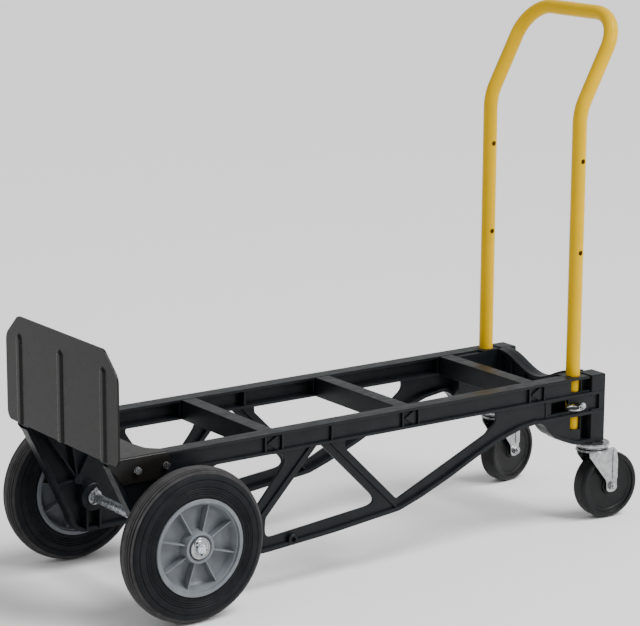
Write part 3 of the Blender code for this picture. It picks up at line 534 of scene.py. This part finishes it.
def saddle_top(y):
    """Height of the saddle's top edge across the truck."""
    reach = min(abs(y) / 0.1, 1.0)
    return DECK_TOP - 0.0005 - SADDLE_DIP / 2 * (1 + math.cos(math.pi * reach))


def saddle_slab(x_from, x_to, bottom):
    """A slab across the truck under the dipped top edge; bottom gives its lower edge's height."""
    stations = [-SADDLE_REACH + 2 * SADDLE_REACH * k / 48 for k in range(49)]
    outline = [(y, saddle_top(y)) for y in stations] + [(y, bottom(y)) for y in reversed(stations)]
    return outlined(outline, x_from, x_to, "YZ", edge=0.001)


shells = [
    saddle_slab(0.987, 0.9925, lambda y: 0.201),
    saddle_slab(0.976, 1.0035, lambda y: saddle_top(y) - 0.005),
    block((0.9785, -SADDLE_REACH, 0.2), (1.001, SADDLE_REACH, 0.2055)),
]
for y in (-0.07, -0.035, 0.0, 0.035, 0.07):
    shells.append(block((0.9795, y - 0.0018, 0.202), (1.0, y + 0.0018, saddle_top(y) - 0.002)))
for side in SIDES.values():
    end_top = saddle_top(BLOCK_IN) - 0.002
    shells.append(block((0.978, side * 0.099, 0.1995), (1.0015, side * (BLOCK_IN - GAP), end_top)))
    shells.append(block((0.9798, side * 0.1, 0.2373), (1.0002, side * 0.1175, 0.2607)))
saddle = assembled("end_saddle", shells, NYLON)
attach(saddle, "frame")
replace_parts(saddle, "end_cross_member")

# ======== nose plate
# A 3 mm steel plate with three stamped beads, stood up across the front.  Its foot lies on the
# rails and its two flaps are bolted to them.  Dark bronze-black powder coat.
PLATE_T = 0.003
PLATE_HALF = 0.18
PLATE_TOP = 0.4482
PLATE_BOTTOM = DECK_TOP + GAP
BEADS_Y = (-0.135, 0.0, 0.135)
BEAD_R = 0.0085
BEAD_HEIGHT = 0.003
BEAD_SLOPE = 0.45 * BEAD_R
BEAD_ENDS = (PLATE_BOTTOM - 0.02, PLATE_TOP - 0.029)
PLATE_EDGE = rounded([
    (0.0, PLATE_BOTTOM), (PLATE_HALF - 0.008, PLATE_BOTTOM, 0.008), (PLATE_HALF, PLATE_BOTTOM + 0.01),
    (PLATE_HALF, PLATE_TOP - 0.037), (PLATE_HALF - 0.0415, PLATE_TOP, 0.012), (0.0, PLATE_TOP)], 0.024, 6,
    closed=False)


def powder_coat(name, colour, darker, roughness, specular, peel=0.00004, tinted=False):
    """Powder coat over steel: a soft gloss with the faint orange peel of the cured powder."""
    return finished(
        name, colour, roughness, 0.0, specular,
        ((22.0, 5.0), darker, colour),
        ((60.0, 4.0), roughness - 0.05, roughness + 0.06),
        (((520.0, 2.0), peel), ((1700.0, 1.0), peel / 3)), tinted)


BRONZE_COAT = powder_coat("bronze_coat", (0.0075, 0.0066, 0.006), (0.005, 0.0048, 0.0047), 0.24, 0.15)


def plate_half_width(z):
    """Half the plate's width at a height, with its cut upper corners and eased lower ones."""
    for (y_low, z_low), (y_high, z_high) in zip(PLATE_EDGE[1:-2], PLATE_EDGE[2:-1]):
        if z <= z_high and z_high > z_low:
            return y_low + (y_high - y_low) * max(z - z_low, 0.0) / (z_high - z_low)
    return PLATE_EDGE[-2][0]


def bead_height(y, z):
    """How far the sheet is pressed forward at a point."""
    along = z - min(max(z, BEAD_ENDS[0] + BEAD_R), BEAD_ENDS[1] - BEAD_R)
    nearest = min(math.hypot(y - bead, along) for bead in BEADS_Y)
    if nearest >= BEAD_R:
        return 0.0
    slope = min(1.0, (BEAD_R - nearest) / BEAD_SLOPE)
    return BEAD_HEIGHT * slope * slope * (3 - 2 * slope)


columns, rows = 260, 88
bm = bmesh.new()
bmesh.ops.create_grid(bm, x_segments=columns, y_segments=rows, size=0.5)
for vert in bm.verts:
    z = PLATE_BOTTOM + (vert.co.y + 0.5) * (PLATE_TOP - PLATE_BOTTOM)
    y = vert.co.x * 2 * plate_half_width(z)
    vert.co = Vector((PLATE_T / 2 - bead_height(y, z), y, z))
bmesh.ops.recalc_face_normals(bm, faces=bm.faces)
upright = shell_from(bm)
wall = upright.modifiers.new("sheet", "SOLIDIFY")
wall.thickness = PLATE_T
wall.offset = 0.0
wall.use_even_offset = False
bevel = upright.modifiers.new("soft_rim", "BEVEL")
bevel.width = 0.0007
bevel.segments = 2
bevel.limit_method = "ANGLE"
bevel.angle_limit = math.radians(50)
upright = settled(upright)
cheek = RAIL_OUT + GAP + PLATE_T

# the foot that lies on the deck, with its cut-out rear edge, and a folded flap over each rail
shelf_half = [(0.111, 0.142), (0.105, 0.127), (0.089, 0.111), (0.0835, 0.076)]
FOLD_R = 0.0032
fold_line = cheek - FOLD_R
shelf = [(0.0008, -fold_line), (0.106, -fold_line)] + [(x, -y) for x, y in shelf_half]
shelf += [(x, y) for x, y in reversed(shelf_half)] + [(0.106, fold_line), (0.0008, fold_line)]
shells = [upright,
          outlined(rounded(shelf, 0.012, 4), PLATE_BOTTOM, PLATE_BOTTOM + PLATE_T, "XY", edge=0.0009)]
for side in SIDES.values():
    fold_height = PLATE_BOTTOM + PLATE_T - FOLD_R
    flap = [(0.0008, fold_height), (0.0008, 0.264), (0.026, 0.229), (0.1, 0.229), (0.1165, 0.25),
            (0.1075, fold_height)]
    shells.append(rod((0.054, side * fold_line, fold_height), "X", FOLD_R, 0.105, 32, 0.001))
    holes = [ring_of(place, BOLT_HOLE_R) for place in NOSE_BOLTS]
    shells.append(outlined(flap, side * (RAIL_OUT + GAP), side * cheek, holes=holes, edge=0.0009))
plate = assembled("nose_sheet", shells, BRONZE_COAT)
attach(plate, "frame")
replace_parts(plate, "nose_plate")

# ======== nose plate bolts
# Zinc-plated hex bolts through the flap and the rail's web, with nuts on the inside.
HEX_ACROSS = 0.0124
SHANK_R = 0.003
TIP_Y = 0.1235

# bright zinc plate: bluish steel with faint yellow passivation and uneven polish
ZINC = finished(
    "zinc_plate", (0.42, 0.43, 0.44), 0.3, 1.0, 0.5,
    ((130.0, 5.0), (0.27, 0.28, 0.3), (0.44, 0.445, 0.44)),
    ((210.0, 6.0), 0.22, 0.4),
    (((900.0, 3.0), 0.00005),))


def hex_head(centre, across, thickness, bore=0.0):
    """A hexagon across the truck with chamfered corners, and a bore for a nut."""
    head = rod(centre, "Y", across / 2, thickness, 6)
    dome = rod(centre, "Y", across / 2 * 0.985, thickness + 0.0002, 36, thickness * 0.24)
    change = head.modifiers.new("chamfer", "BOOLEAN")
    change.operation = "INTERSECT"
    change.object = dome
    head = settled(head)
    bpy.data.objects.remove(dome)
    if bore:
        head = cut(head, rod(centre, "Y", bore, thickness * 3, 28))
    return head


def bolt_end(centre, radius, length):
    """A threaded shank across the truck: turned rings at the thread's pitch, with a chamfered tip."""
    pitch = 0.00125
    turns = int(length / pitch)
    profile = [(0.0, length / 2), (radius * 0.8, length / 2)]
    for k in range(turns):
        height = length / 2 - pitch * (k + 0.35)
        profile += [(radius, height), (radius * 0.9, height - pitch * 0.5)]
    profile += [(radius * 0.8, -length / 2), (0.0, -length / 2)]
    return turned(profile, 28, centre, "Y")


head_at = cheek + GAP
for label, side in SIDES.items():
    for number, (x, z) in enumerate(NOSE_BOLTS, start=1):
        bolt = [
            hex_head((x, side * (head_at + 0.0024), z), HEX_ACROSS, 0.004),
            rod((x, side * (head_at + 0.0004), z), "Y", 0.0062, 0.0008, 36, 0.0002),
            bolt_end((x, side * (head_at + TIP_Y) / 2, z), SHANK_R, head_at - TIP_Y),
        ]
        nut = [hex_head((x, side * (WEB_IN - 0.0029), z), HEX_ACROSS, 0.005, SHANK_R + GAP)]
        for kind, shells in (("bolt", bolt), ("nut", nut)):
            piece = assembled("flap_%s_%s_%d" % (kind, label, number), shells, ZINC)
            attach(piece, "frame")
            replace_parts(piece, "nose_%s_%s_%d" % (kind, label, number))

# ======== axle and its washers
# One galvanised steel bar through both frames.  Washers and a spacer place each wheel on it,
# and split pins through cross holes hold them there.
AXLE_HALF = 0.2205
PIN_INNER, PIN_OUTER = 0.1105, 0.2178
COTTER_LEAN = math.radians(-38)
COTTER_EYE_R, COTTER_WIRE_R = 0.0031, 0.00105
WHEEL_MID = 0.1916

# hot-dipped zinc: bluish, with a speckle of bright and dull crystals
SPECKLE = (420.0, 8.0, (1.0, 0.5, 1.0))
GALVANISED = finished(
    "galvanised_bar", (0.45, 0.48, 0.52), 0.4, 1.0, 0.5,
    (SPECKLE, (0.16, 0.19, 0.23), (0.8, 0.84, 0.88)),
    ((300.0, 5.0), 0.26, 0.55),
    ((SPECKLE, 0.00018),))
bar = rod((AXLE_X, 0.0, WHEEL_R), "Y", AXLE_R, 2 * AXLE_HALF, 48, 0.0008)
axle = assembled("axle_bar", [bar], GALVANISED)
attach(axle, "frame")
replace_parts(axle, "axle")


def washer(side, y_from, y_to, outer):
    """A flat ring on the axle with eased edges."""
    low, high = sorted((side * y_from, side * y_to))
    ease = min(0.0003, (high - low) / 3)
    profile = [(AXLE_BORE, low), (outer - ease, low), (outer, low + ease), (outer, high - ease),
               (outer - ease, high), (AXLE_BORE, high)]
    return turned(profile, 56, (AXLE_X, 0.0, WHEEL_R), "Y")


def wire(points, radius, resolution):
    """A round wire through a row of points."""
    curve = bpy.data.curves.new("wire", "CURVE")
    curve.dimensions = "3D"
    curve.bevel_depth = radius
    curve.bevel_resolution = resolution
    curve.use_fill_caps = True
    spline = curve.splines.new("POLY")
    spline.points.add(len(points) - 1)
    for point, place in zip(spline.points, points):
        point.co = (*place, 1.0)
    strand = bpy.data.objects.new("wire", curve)
    bpy.context.scene.collection.objects.link(strand)
    return settled(strand)


def cotter_pin(side, y, lean):
    """A split pin through the axle: an eye above, and two legs bent apart below."""
    eye_middle = Vector((AXLE_X, side * y, WHEEL_R + AXLE_R + 0.0052))
    foot = Vector((AXLE_X, side * y, WHEEL_R - AXLE_R - 0.0006))
    strands = []
    for way in (-1, 1):
        points = []
        for k in range(9):
            turn = math.pi * k / 8
            points.append(eye_middle + Vector((way * COTTER_EYE_R * math.sin(turn), 0.0,
                                               COTTER_EYE_R * math.cos(turn))))
        points.append(eye_middle + Vector((way * 0.0008, 0.0, -0.0042)))
        points.append(foot + Vector((way * 0.0007, 0.0, 0.0)))
        for k in range(1, 5):
            turn = math.radians(26 * k)
            spread_out = 0.0007 + 0.0034 * (1 - math.cos(turn)) + 0.0006 * k
            points.append(foot + Vector((way * spread_out, 0.0, -0.0016 * math.sin(turn))))
        centre = Vector((AXLE_X, side * y, WHEEL_R))
        tilt = Matrix.Rotation(lean, 3, "Y")
        strands.append(wire([centre + tilt @ (point - centre) for point in points], COTTER_WIRE_R, 3))
    return strands


# the outer washer is a stamped cap with a rolled rim
CAP_PROFILE = [(AXLE_BORE, 0.0238), (0.0172, 0.0238), (0.0175, 0.0241), (0.0175, 0.0247), (0.017, 0.0251),
               (0.0154, 0.0251), (0.0148, 0.0242), (0.013, 0.0242), (0.0122, 0.0251), (0.0106, 0.0251),
               (0.01, 0.0243), (AXLE_BORE, 0.0243)]
for label, side in SIDES.items():
    cap = [(radius, side * (WHEEL_MID + height)) for radius, height in CAP_PROFILE]
    fittings = {
        "inner_washer_": ("ring_", [washer(side, 0.1125, 0.1147, 0.0128)]),
        "wheel_spacer_": ("ring_", [washer(side, 0.1503, WHEEL_MID - 0.0238, 0.012)]),
        "outer_washer_": ("ring_", [turned(cap, 64, (AXLE_X, 0.0, WHEEL_R), "Y")]),
        "inner_cotter_": ("wire_", cotter_pin(side, PIN_INNER, 0.0)),
        "outer_cotter_": ("wire_", cotter_pin(side, PIN_OUTER, COTTER_LEAN)),
    }
    for node, (form, shells) in fittings.items():
        piece = assembled(node + form + label, shells, ZINC)
        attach(piece, "frame")
        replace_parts(piece, node + label)

# ======== tyres
# Moulded black rubber, with fine grooves around the tread and raised rings on the sidewalls.
RIM_R = 0.0795
TREAD_FROM = 0.1175
SHOULDER_R = 0.12
SIDE_RINGS = (0.0862, 0.09, 0.0938, 0.0976, 0.109)
RING_SIZE = 0.0014
GROOVES_FROM = 0.117
TREAD_GROOVES = (0.0182, 0.0142, 0.01, 0.0056)
GROOVE_DEPTH, GROOVE_HALF = 0.002, 0.0014
TYRE_ARC = [(RIM_R + 0.0002, 0.0215), (RIM_R + 0.0045, 0.0226), (0.09, 0.0229), (0.103, 0.023),
            (0.111, 0.0221), (0.1175, 0.02), (0.1225, 0.016), (0.125, 0.0115), (0.1263, 0.006),
            (WHEEL_R, 0.0)]

# matt black rubber, a little dusty, with a fine moulding grain
TYRE_RUBBER = finished(
    "tyre_rubber", (0.006, 0.006, 0.008), 0.6, 0.0, 0.14,
    ((30.0, 7.0), (0.0036, 0.0042, 0.0056), (0.0075, 0.0082, 0.01)),
    ((75.0, 5.0), 0.52, 0.72),
    (((1500.0, 2.0), 0.00006), ((130.0, 4.0), 0.00016)))

# the same rubber on the tread's ridges, painted lighter: a painted highlight where the light falls on the
# tread
LIT_TREAD_RUBBER = finished(
    "painted_lit_tread", (0.034, 0.032, 0.033), 0.66, 0.0, 0.3,
    ((55.0, 8.0), (0.024, 0.023, 0.024), (0.048, 0.045, 0.046)),
    ((75.0, 5.0), 0.6, 0.8),
    (((1300.0, 2.0), 0.00008), ((160.0, 4.0), 0.00016)))


def tyre_profile():
    """Half the tyre's section from the rim to the middle of the tread, with rings and grooves."""
    arc = [Vector(p) for p in rounded(TYRE_ARC, 0.02, 5, closed=False)]
    points = []
    for here, after in zip(arc, arc[1:]):
        pieces = max(1, int((after - here).length / 0.00045))
        points += [here.lerp(after, k / pieces) for k in range(pieces)]
    points.append(arc[-1])
    shaped = []
    for i, point in enumerate(points):
        before, after = points[max(i - 1, 0)], points[min(i + 1, len(points) - 1)]
        way = (after - before).normalized()
        out = Vector((-way.y, way.x))
        if out.y < 0 and point.x < SHOULDER_R:
            out = -out
        if out.x < 0 and point.x >= SHOULDER_R:
            out = -out
        lift = 0.0
        for ring in SIDE_RINGS:
            lift -= RING_SIZE * max(0.0, 1 - abs(point.x - ring) / RING_SIZE)
        if point.x > GROOVES_FROM:
            for groove in TREAD_GROOVES:
                lift -= GROOVE_DEPTH * max(0.0, 1 - abs(point.y - groove) / GROOVE_HALF) ** 0.6
        shaped.append(tuple(point + out * lift))
    return shaped


half = tyre_profile()
TYRE_SECTION = half + [(radius, -height) for radius, height in reversed(half[:-1])]
for label, side in SIDES.items():
    centre = (AXLE_X, side * WHEEL_MID, WHEEL_R)
    tyre = assembled("tyre_moulding_" + label, [turned(TYRE_SECTION, 120, centre, "Y")], TYRE_RUBBER,
                     sharp=60)
    tyre.data.materials.append(LIT_TREAD_RUBBER)
    hub_middle = DECK @ Vector(centre)
    # the tread's ridges take the lighter rubber as a painted highlight; the groove faces keep the dark
    # rubber, so the grooves carry painted shade
    for face in tyre.data.polygons:
        radius = math.hypot(face.center.x - hub_middle.x, face.center.z - hub_middle.z)
        across = abs(face.center.y - hub_middle.y)
        groove_in_painted_shade = any(abs(across - groove) < 0.0011 for groove in TREAD_GROOVES)
        face.material_index = int(radius > TREAD_FROM and not groove_in_painted_shade)
    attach(tyre, "wheel_" + label)
    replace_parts(tyre, "tyre_" + label)

# ======== hubs and sleeves
# Each hub is a grey plastic moulding: a rim lip, a dished web, eight thin spokes on both faces
# and a boss that holds a steel bearing sleeve.
HUB_FACE = 0.0245
SPOKES, SPOKE_TURN = 8, math.radians(-17.0)

# mid-grey moulded plastic with a satin face
HUB_PLASTIC = finished(
    "hub_plastic", (0.13, 0.145, 0.16), 0.4, 0.0, 0.4,
    ((45.0, 6.0), (0.105, 0.117, 0.131), (0.15, 0.164, 0.18)),
    ((120.0, 4.0), 0.36, 0.48),
    (((1600.0, 2.0), 0.00004),))


def hub_profile():
    """Half the hub's section, from the rim to the sleeve's seat."""
    rim = RIM_R - 0.00015
    return [(rim, HUB_FACE - 0.0006), (rim - 0.0006, HUB_FACE), (rim - 0.006, HUB_FACE),
            (rim - 0.0066, HUB_FACE - 0.0008), (rim - 0.007, 0.0205), (rim - 0.0088, 0.02),
            (rim - 0.01, 0.018), (rim - 0.013, 0.008), (0.062, 0.0036), (0.056, 0.0026), (0.036, 0.004),
            (0.029, 0.0062), (0.0266, 0.012), (0.0256, 0.0225), (0.0248, 0.0238), (0.0216, 0.0238),
            (0.021, 0.0228), (0.0202, 0.0228), (0.0196, 0.021), (0.019, 0.0186), (0.0118, 0.0186),
            (0.0112, 0.0192)]


for label, side in SIDES.items():
    centre = Vector((AXLE_X, side * WHEEL_MID, WHEEL_R))
    shells = [turned(mirrored(hub_profile()), 96, centre, "Y")]
    for face in (-1, 1):
        for k in range(SPOKES):
            turn = Matrix.Rotation(-(SPOKE_TURN + 2 * math.pi * k / SPOKES), 4, "Y")
            side_on = [(0.024, face * 0.002), (0.069, face * 0.002), (0.069, face * 0.0178),
                       (0.025, face * 0.0192)]
            fin = outlined(side_on, -0.0011, 0.0011, "XY", edge=0.0005)
            fin.data.transform(Matrix.Translation(centre) @ turn)
            shells.append(fin)
    hub = assembled("hub_moulding_" + label, shells, HUB_PLASTIC)
    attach(hub, "wheel_" + label)
    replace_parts(hub, "hub_" + label)
    seat = mirrored([(AXLE_BORE, 0.0235), (0.0109, 0.0235)])
    sleeve = assembled("bearing_sleeve_" + label, [turned(seat, 56, centre, "Y")], ZINC)
    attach(sleeve, "wheel_" + label)
    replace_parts(sleeve, "sleeve_" + label)

# ======== handle
# One length of 1 in steel tube, bent into a tall loop that leans back towards the user, with
# lock holes through both legs.  Glossy yellow powder coat.
TUBE_R, TUBE_WALL = 0.0127, 0.00165
KNEE_Z = 0.7372
GRIP_X, GRIP_Z = LEG_X + 0.087, 0.8978
LEG_HOLES_Z = (LOCK_Z, 0.4896, 0.651)
HANDLE_GLOSS = 0.08
YELLOW_COAT = powder_coat("yellow_coat", (0.66, 0.4, 0.0), (0.62, 0.37, 0.0), 0.28, 0.06, 0.00002,
                          tinted=True)
coat = YELLOW_COAT.node_tree.nodes["Principled BSDF"]
coat.inputs["Coat Weight"].default_value = HANDLE_GLOSS
coat.inputs["Coat Roughness"].default_value = 0.06


def bend_points(corner, before, after, radius, steps):
    """Points of an arc that rounds the corner between two directions."""
    corner, before, after = Vector(corner), Vector(before).normalized(), Vector(after).normalized()
    half = (-before).angle(after) / 2
    start = corner - before * radius / math.tan(half)
    middle = corner + (after - before).normalized() * radius / math.sin(half)
    axis = before.cross(after).normalized()
    sweep = math.pi - 2 * half
    return [middle + Matrix.Rotation(sweep * k / steps, 3,
                                     axis) @ (start - middle) for k in range(steps + 1)]


def handle_half(side):
    """Half of the handle's centre line, from the foot of one leg to the grip."""
    foot = Vector((LEG_X, side * LEG_Y, 0.1708))
    knee = Vector((LEG_X, side * LEG_Y, KNEE_Z))
    shoulder = Vector((GRIP_X, side * LEG_Y, GRIP_Z))
    rise = shoulder - knee
    path = [foot]
    path += bend_points(knee, (0, 0, 1), rise, 0.09, 14)
    path += bend_points(shoulder, rise, (0, -side, 0), 0.062, 24)
    return path


path = handle_half(-1)
path += [Vector((p.x, -p.y, p.z)) for p in reversed(path)]
below = Vector((0.0, 0.0, -0.01))
bore_path = [path[0] + below] + path[1:-1] + [path[-1] + below]
tube = cut(wire(path, TUBE_R, 10), wire(bore_path, TUBE_R - TUBE_WALL, 6))
holes = [rod((LEG_X, side * LEG_Y, z), "Y", 0.0046, 0.04,
             28) for z in LEG_HOLES_Z for side in SIDES.values()]
tube = cut(tube, *holes)
handle = assembled("handle_loop", [tube], YELLOW_COAT, sharp=50)
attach(handle, "handle")
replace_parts(handle, "handle")

# ======== lock pins
# A zinc-plated plunger in each block holds the handle's leg.  A ring through its tab draws it.
RING_R, RING_WIRE = 0.0143, 0.0014
PIN_TIP, PIN_TAIL = 0.1362, 0.1568
EYE_X = LEG_X - 0.0083
for label, side in SIDES.items():
    stem = [(0.0, PIN_TIP), (0.003, PIN_TIP), (0.0038, PIN_TIP + 0.001), (0.0038, 0.1508),
            (0.0062, 0.1508), (0.0065, 0.1512), (0.0065, 0.1528), (0.0062, 0.1532), (0.0038, 0.1532),
            (0.0038, PIN_TAIL - 0.0005), (0.0033, PIN_TAIL), (0.0, PIN_TAIL)]
    plunger = turned([(radius, side * height) for radius, height in stem], 40, (LEG_X, 0.0, LOCK_Z), "Y")
    tab = rounded([(EYE_X - 0.0045, LOCK_Z - 0.0042), (LEG_X, LOCK_Z - 0.0036), (LEG_X, LOCK_Z + 0.0036),
                   (EYE_X - 0.0045, LOCK_Z + 0.0042)], 0.0038, 6)
    eye = [ring_of((EYE_X, LOCK_Z), 0.002, 20)]
    tab = outlined(tab, side * 0.1544, side * (PIN_TAIL - 0.0002), holes=eye, edge=0.0004)
    pin = assembled("lock_plunger_" + label, [plunger, tab], ZINC)
    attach(pin, "lock_" + label)
    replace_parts(pin, "lock_pin_" + label)
    loop = turned(ring_of((RING_R, 0.0), RING_WIRE, 16), 72, (EYE_X - RING_R, side * 0.1556, LOCK_Z))
    pull = assembled("pull_loop_" + label, [loop], ZINC, sharp=60)
    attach(pull, "lock_" + label)
    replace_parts(pull, "pull_ring_" + label)

# ======== casters
# Zinc-plated swivel casters with hard rubber wheels.  A stem in the block carries the top
# plate; the fork hangs from it on a ball race and a kingpin, and an axle bolt holds the wheel.
CASTER_TOP = 0.144
FORK_PLATE = 0.0028
FORK_TOP = CASTER_TOP - 0.011
CASTER_TRAIL = 0.031
CASTER_R, CASTER_HALF = 0.061, 0.016
CHEEK = CASTER_HALF + 0.0018
CASTER_BOLT_R = 0.0041
CASTER_YAW = {"near": math.radians(-4.0), "far": math.radians(10.5)}

# dense black rubber with a low sheen
HARD_RUBBER = finished(
    "hard_rubber", (0.005, 0.005, 0.006), 0.3, 0.0, 0.2,
    ((60.0, 5.0), (0.003, 0.0034, 0.004), (0.006, 0.0063, 0.007)),
    ((140.0, 4.0), 0.3, 0.46),
    (((1300.0, 2.0), 0.00004),))


def caster_plate(pivot):
    """Stem, cupped top plate and the kingpin's seat, turned as one piece."""
    top = CASTER_TOP - GAP
    return [turned([
        (0.0, top + 0.04), (0.005, top + 0.04), (0.006, top + 0.0385), (0.006, top), (0.0288, top),
        (0.0303, top - 0.0006), (0.031, top - 0.0022), (0.031, top - 0.005), (0.0302, top - 0.0062),
        (0.028, top - 0.0066), (0.0262, top - 0.0058), (0.024, top - 0.007), (0.0075, top - 0.007),
        (0.0075, top - 0.0105), (0.0, top - 0.0105),
    ], 72, pivot)]


def caster_fork():
    """Crown and two cheeks, pressed from sheet, on the caster's own axes."""
    crown = turned([(0.0064, FORK_TOP), (0.024, FORK_TOP), (0.0285, FORK_TOP - 0.0012),
                    (0.0298, FORK_TOP - 0.0042), (0.0288, FORK_TOP - 0.0046),
                    (0.027, FORK_TOP - FORK_PLATE - 0.001), (0.0235, FORK_TOP - FORK_PLATE),
                    (0.0064, FORK_TOP - FORK_PLATE)], 72)
    outline = rounded([
        (-0.02, FORK_TOP - 0.001, 0.0), (0.038, FORK_TOP - 0.001, 0.008), (0.0425, 0.108, 0.016),
        (0.0425, CASTER_R - 0.0115, 0.0105), (0.0195, CASTER_R - 0.0115, 0.0105),
        (0.019, CASTER_R + 0.01, 0.016), (-0.019, 0.119, 0.012)], 0.01, 8)
    hole = [ring_of((CASTER_TRAIL, CASTER_R), 0.0046)]
    shells = [crown]
    for way in (-1, 1):
        shells.append(outlined(outline, way * CHEEK, way * (CHEEK + FORK_PLATE), holes=hole, edge=0.0008))
        rim = [(0.0315, CASTER_R + 0.012), (0.0424, CASTER_R + 0.012), (0.0424, 0.1085),
               (0.0385, FORK_TOP - 0.004), (0.0315, FORK_TOP - 0.004)]
        shells.append(outlined(rounded(rim, 0.003, 3), way * (CHEEK + 0.001),
                               way * (CHEEK + FORK_PLATE + 0.0018), edge=0.0008))
        neck = [(way * (CHEEK + 0.0002), FORK_TOP - 0.0165),
                (way * (CHEEK + FORK_PLATE - 0.0002), FORK_TOP - 0.0165),
                (way * (CHEEK + FORK_PLATE + 0.001), FORK_TOP - 0.006),
                (way * (CHEEK + FORK_PLATE + 0.0035), FORK_TOP - 0.0022),
                (way * (CHEEK + 0.0002), FORK_TOP - 0.0022)]
        shells.append(outlined(neck if way > 0 else neck[::-1], -0.015, 0.017, "YZ", edge=0.0008))
    return shells


def caster_wheel():
    """Hard rubber wheel: crowned tread, stepped rim, dished face and hub."""
    half = [(CASTER_R, 0.0085), (CASTER_R - 0.0005, 0.0115), (CASTER_R - 0.0018, 0.0138),
            (CASTER_R - 0.0042, 0.0156), (CASTER_R - 0.006, CASTER_HALF), (0.0515, CASTER_HALF),
            (0.0506, 0.0154), (0.05, 0.013), (0.049, 0.0123), (0.045, 0.012), (0.0438, 0.0108),
            (0.04, 0.01), (0.02, 0.0102), (0.0172, 0.0112), (0.0158, 0.015), (0.015, 0.0155),
            (0.008, 0.0155), (0.0074, 0.015)]
    return [turned(mirrored(half), 96, axis="Y")]


for label, side in SIDES.items():
    pivot = Vector((CASTER_X, side * CASTER_Y, 0.0))
    stand = DECK @ Matrix.Translation(pivot) @ Matrix.Rotation(CASTER_YAW[label], 4, "Z")
    axle_place = stand @ Matrix.Translation((CASTER_TRAIL, 0.0, CASTER_R))
    face = CHEEK + FORK_PLATE + GAP
    top_plate = assembled("caster_top_" + label, caster_plate(pivot), ZINC)
    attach(top_plate, "frame")
    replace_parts(top_plate, "caster_plate_" + label)

    race_top = CASTER_TOP - 0.0076
    race_low = FORK_TOP + GAP
    race = turned([(0.009, race_top), (0.0252, race_top), (0.0272, race_top - 0.0008),
                   (0.0275, (race_top + race_low) / 2), (0.027, race_low + 0.0006), (0.0252, race_low),
                   (0.009, race_low)], 72)
    pin_top = CASTER_TOP - 0.0111
    rivet = turned([(0.0, pin_top), (0.006, pin_top), (0.006, FORK_TOP - FORK_PLATE - 0.0006),
                    (0.0105, FORK_TOP - FORK_PLATE - 0.0006), (0.0102, FORK_TOP - FORK_PLATE - 0.003),
                    (0.008, FORK_TOP - FORK_PLATE - 0.0046), (0.0, FORK_TOP - FORK_PLATE - 0.005)], 40)
    bush = turned(mirrored([(0.0044, CHEEK - GAP), (0.0071, CHEEK - GAP)]), 40, axis="Y")
    swivelling = {
        "caster_race_": ("ball_race_", [race], stand),
        "caster_fork_": ("fork_pressing_", caster_fork(), stand),
        "caster_kingpin_": ("kingpin_rivet_", [rivet], stand),
        "caster_bush_": ("wheel_bush_", [bush], axle_place),
        "caster_bolt_": ("axle_bolt_", [
            hex_head((0.0, face + 0.0027, 0.0), 0.0148, 0.0054),
            rod((0.0, 0.0, 0.0), "Y", CASTER_BOLT_R, 2 * face + 0.002, 36),
            bolt_end((0.0, -face - 0.0046, 0.0), CASTER_BOLT_R, 0.0092)], axle_place),
        "caster_nut_": ("axle_nut_",
                        [hex_head((0.0, -face - 0.0031, 0.0), 0.0156, 0.0062, CASTER_BOLT_R + GAP)],
                        axle_place),
    }
    for node, (name, shells, place) in swivelling.items():
        piece = assembled(name + label, shells, ZINC, place)
        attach(piece, "swivel_" + label)
        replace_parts(piece, node + label)
    wheel = assembled("caster_roller_" + label, caster_wheel(), HARD_RUBBER, axle_place)
    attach(wheel, "roller_" + label)
    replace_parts(wheel, "caster_wheel_" + label)

# ======== floor, light and camera
# A pale floor under a soft overhead light, seen from the nose end, a little above the deck.
floor_look, _, _ = new_look("pale_floor", (0.86, 0.86, 0.86), 0.75, tinted=True)
bm = bmesh.new()
bmesh.ops.create_grid(bm, x_segments=1, y_segments=1, size=60.0)
floor = shell_from(bm)
floor.name = "floor"
floor.data.materials.append(floor_look)
floor.location.z = cad_box[0].z

world = bpy.data.worlds.new("studio")
bpy.context.scene.world = world
world.use_nodes = True
sky = world.node_tree.nodes["Background"]
sky.inputs["Color"].default_value = (1.0, 1.0, 1.0, 1.0)
sky.inputs["Strength"].default_value = 0.7

softbox = bpy.data.lights.new("key_light", "AREA")
softbox.shape = "RECTANGLE"
softbox.size, softbox.size_y = 0.9, 1.4
softbox.energy = 70.0
lamp = bpy.data.objects.new("key_light", softbox)
bpy.context.scene.collection.objects.link(lamp)
lamp.location = (1.5, -2.6, 2.4)
lamp.rotation_euler = (Vector((0.0, 0.0, 0.25)) - lamp.location).to_track_quat("-Z", "Y").to_euler()

overhead = bpy.data.lights.new("overhead", "SUN")
overhead.energy = 3.0
overhead.angle = math.radians(26)
ceiling = bpy.data.objects.new("overhead", overhead)
bpy.context.scene.collection.objects.link(ceiling)
ceiling.rotation_euler = (math.radians(20), math.radians(22), 0.0)

AZIMUTH, ELEVATION, ROLL = math.radians(35.0), math.radians(12.81), 0.0045
camera = bpy.data.objects.new("camera", bpy.data.cameras.new("camera"))
bpy.context.scene.collection.objects.link(camera)
bpy.context.scene.camera = camera
camera.data.sensor_width = 36.0
camera.data.lens = 138.28
ahead = Vector((math.sin(AZIMUTH), math.cos(AZIMUTH), 0.0)) * math.cos(ELEVATION)
ahead.z = -math.sin(ELEVATION)
level = Vector((math.cos(AZIMUTH), -math.sin(AZIMUTH), 0.0))
above = level.cross(ahead)
right = level * math.cos(ROLL) + above * math.sin(ROLL)
up = above * math.cos(ROLL) - level * math.sin(ROLL)
look_along = Matrix((right, up, -ahead)).transposed().to_4x4()
camera.matrix_world = Matrix.Translation((-2.36905, -3.31925, 1.33684)) @ look_along
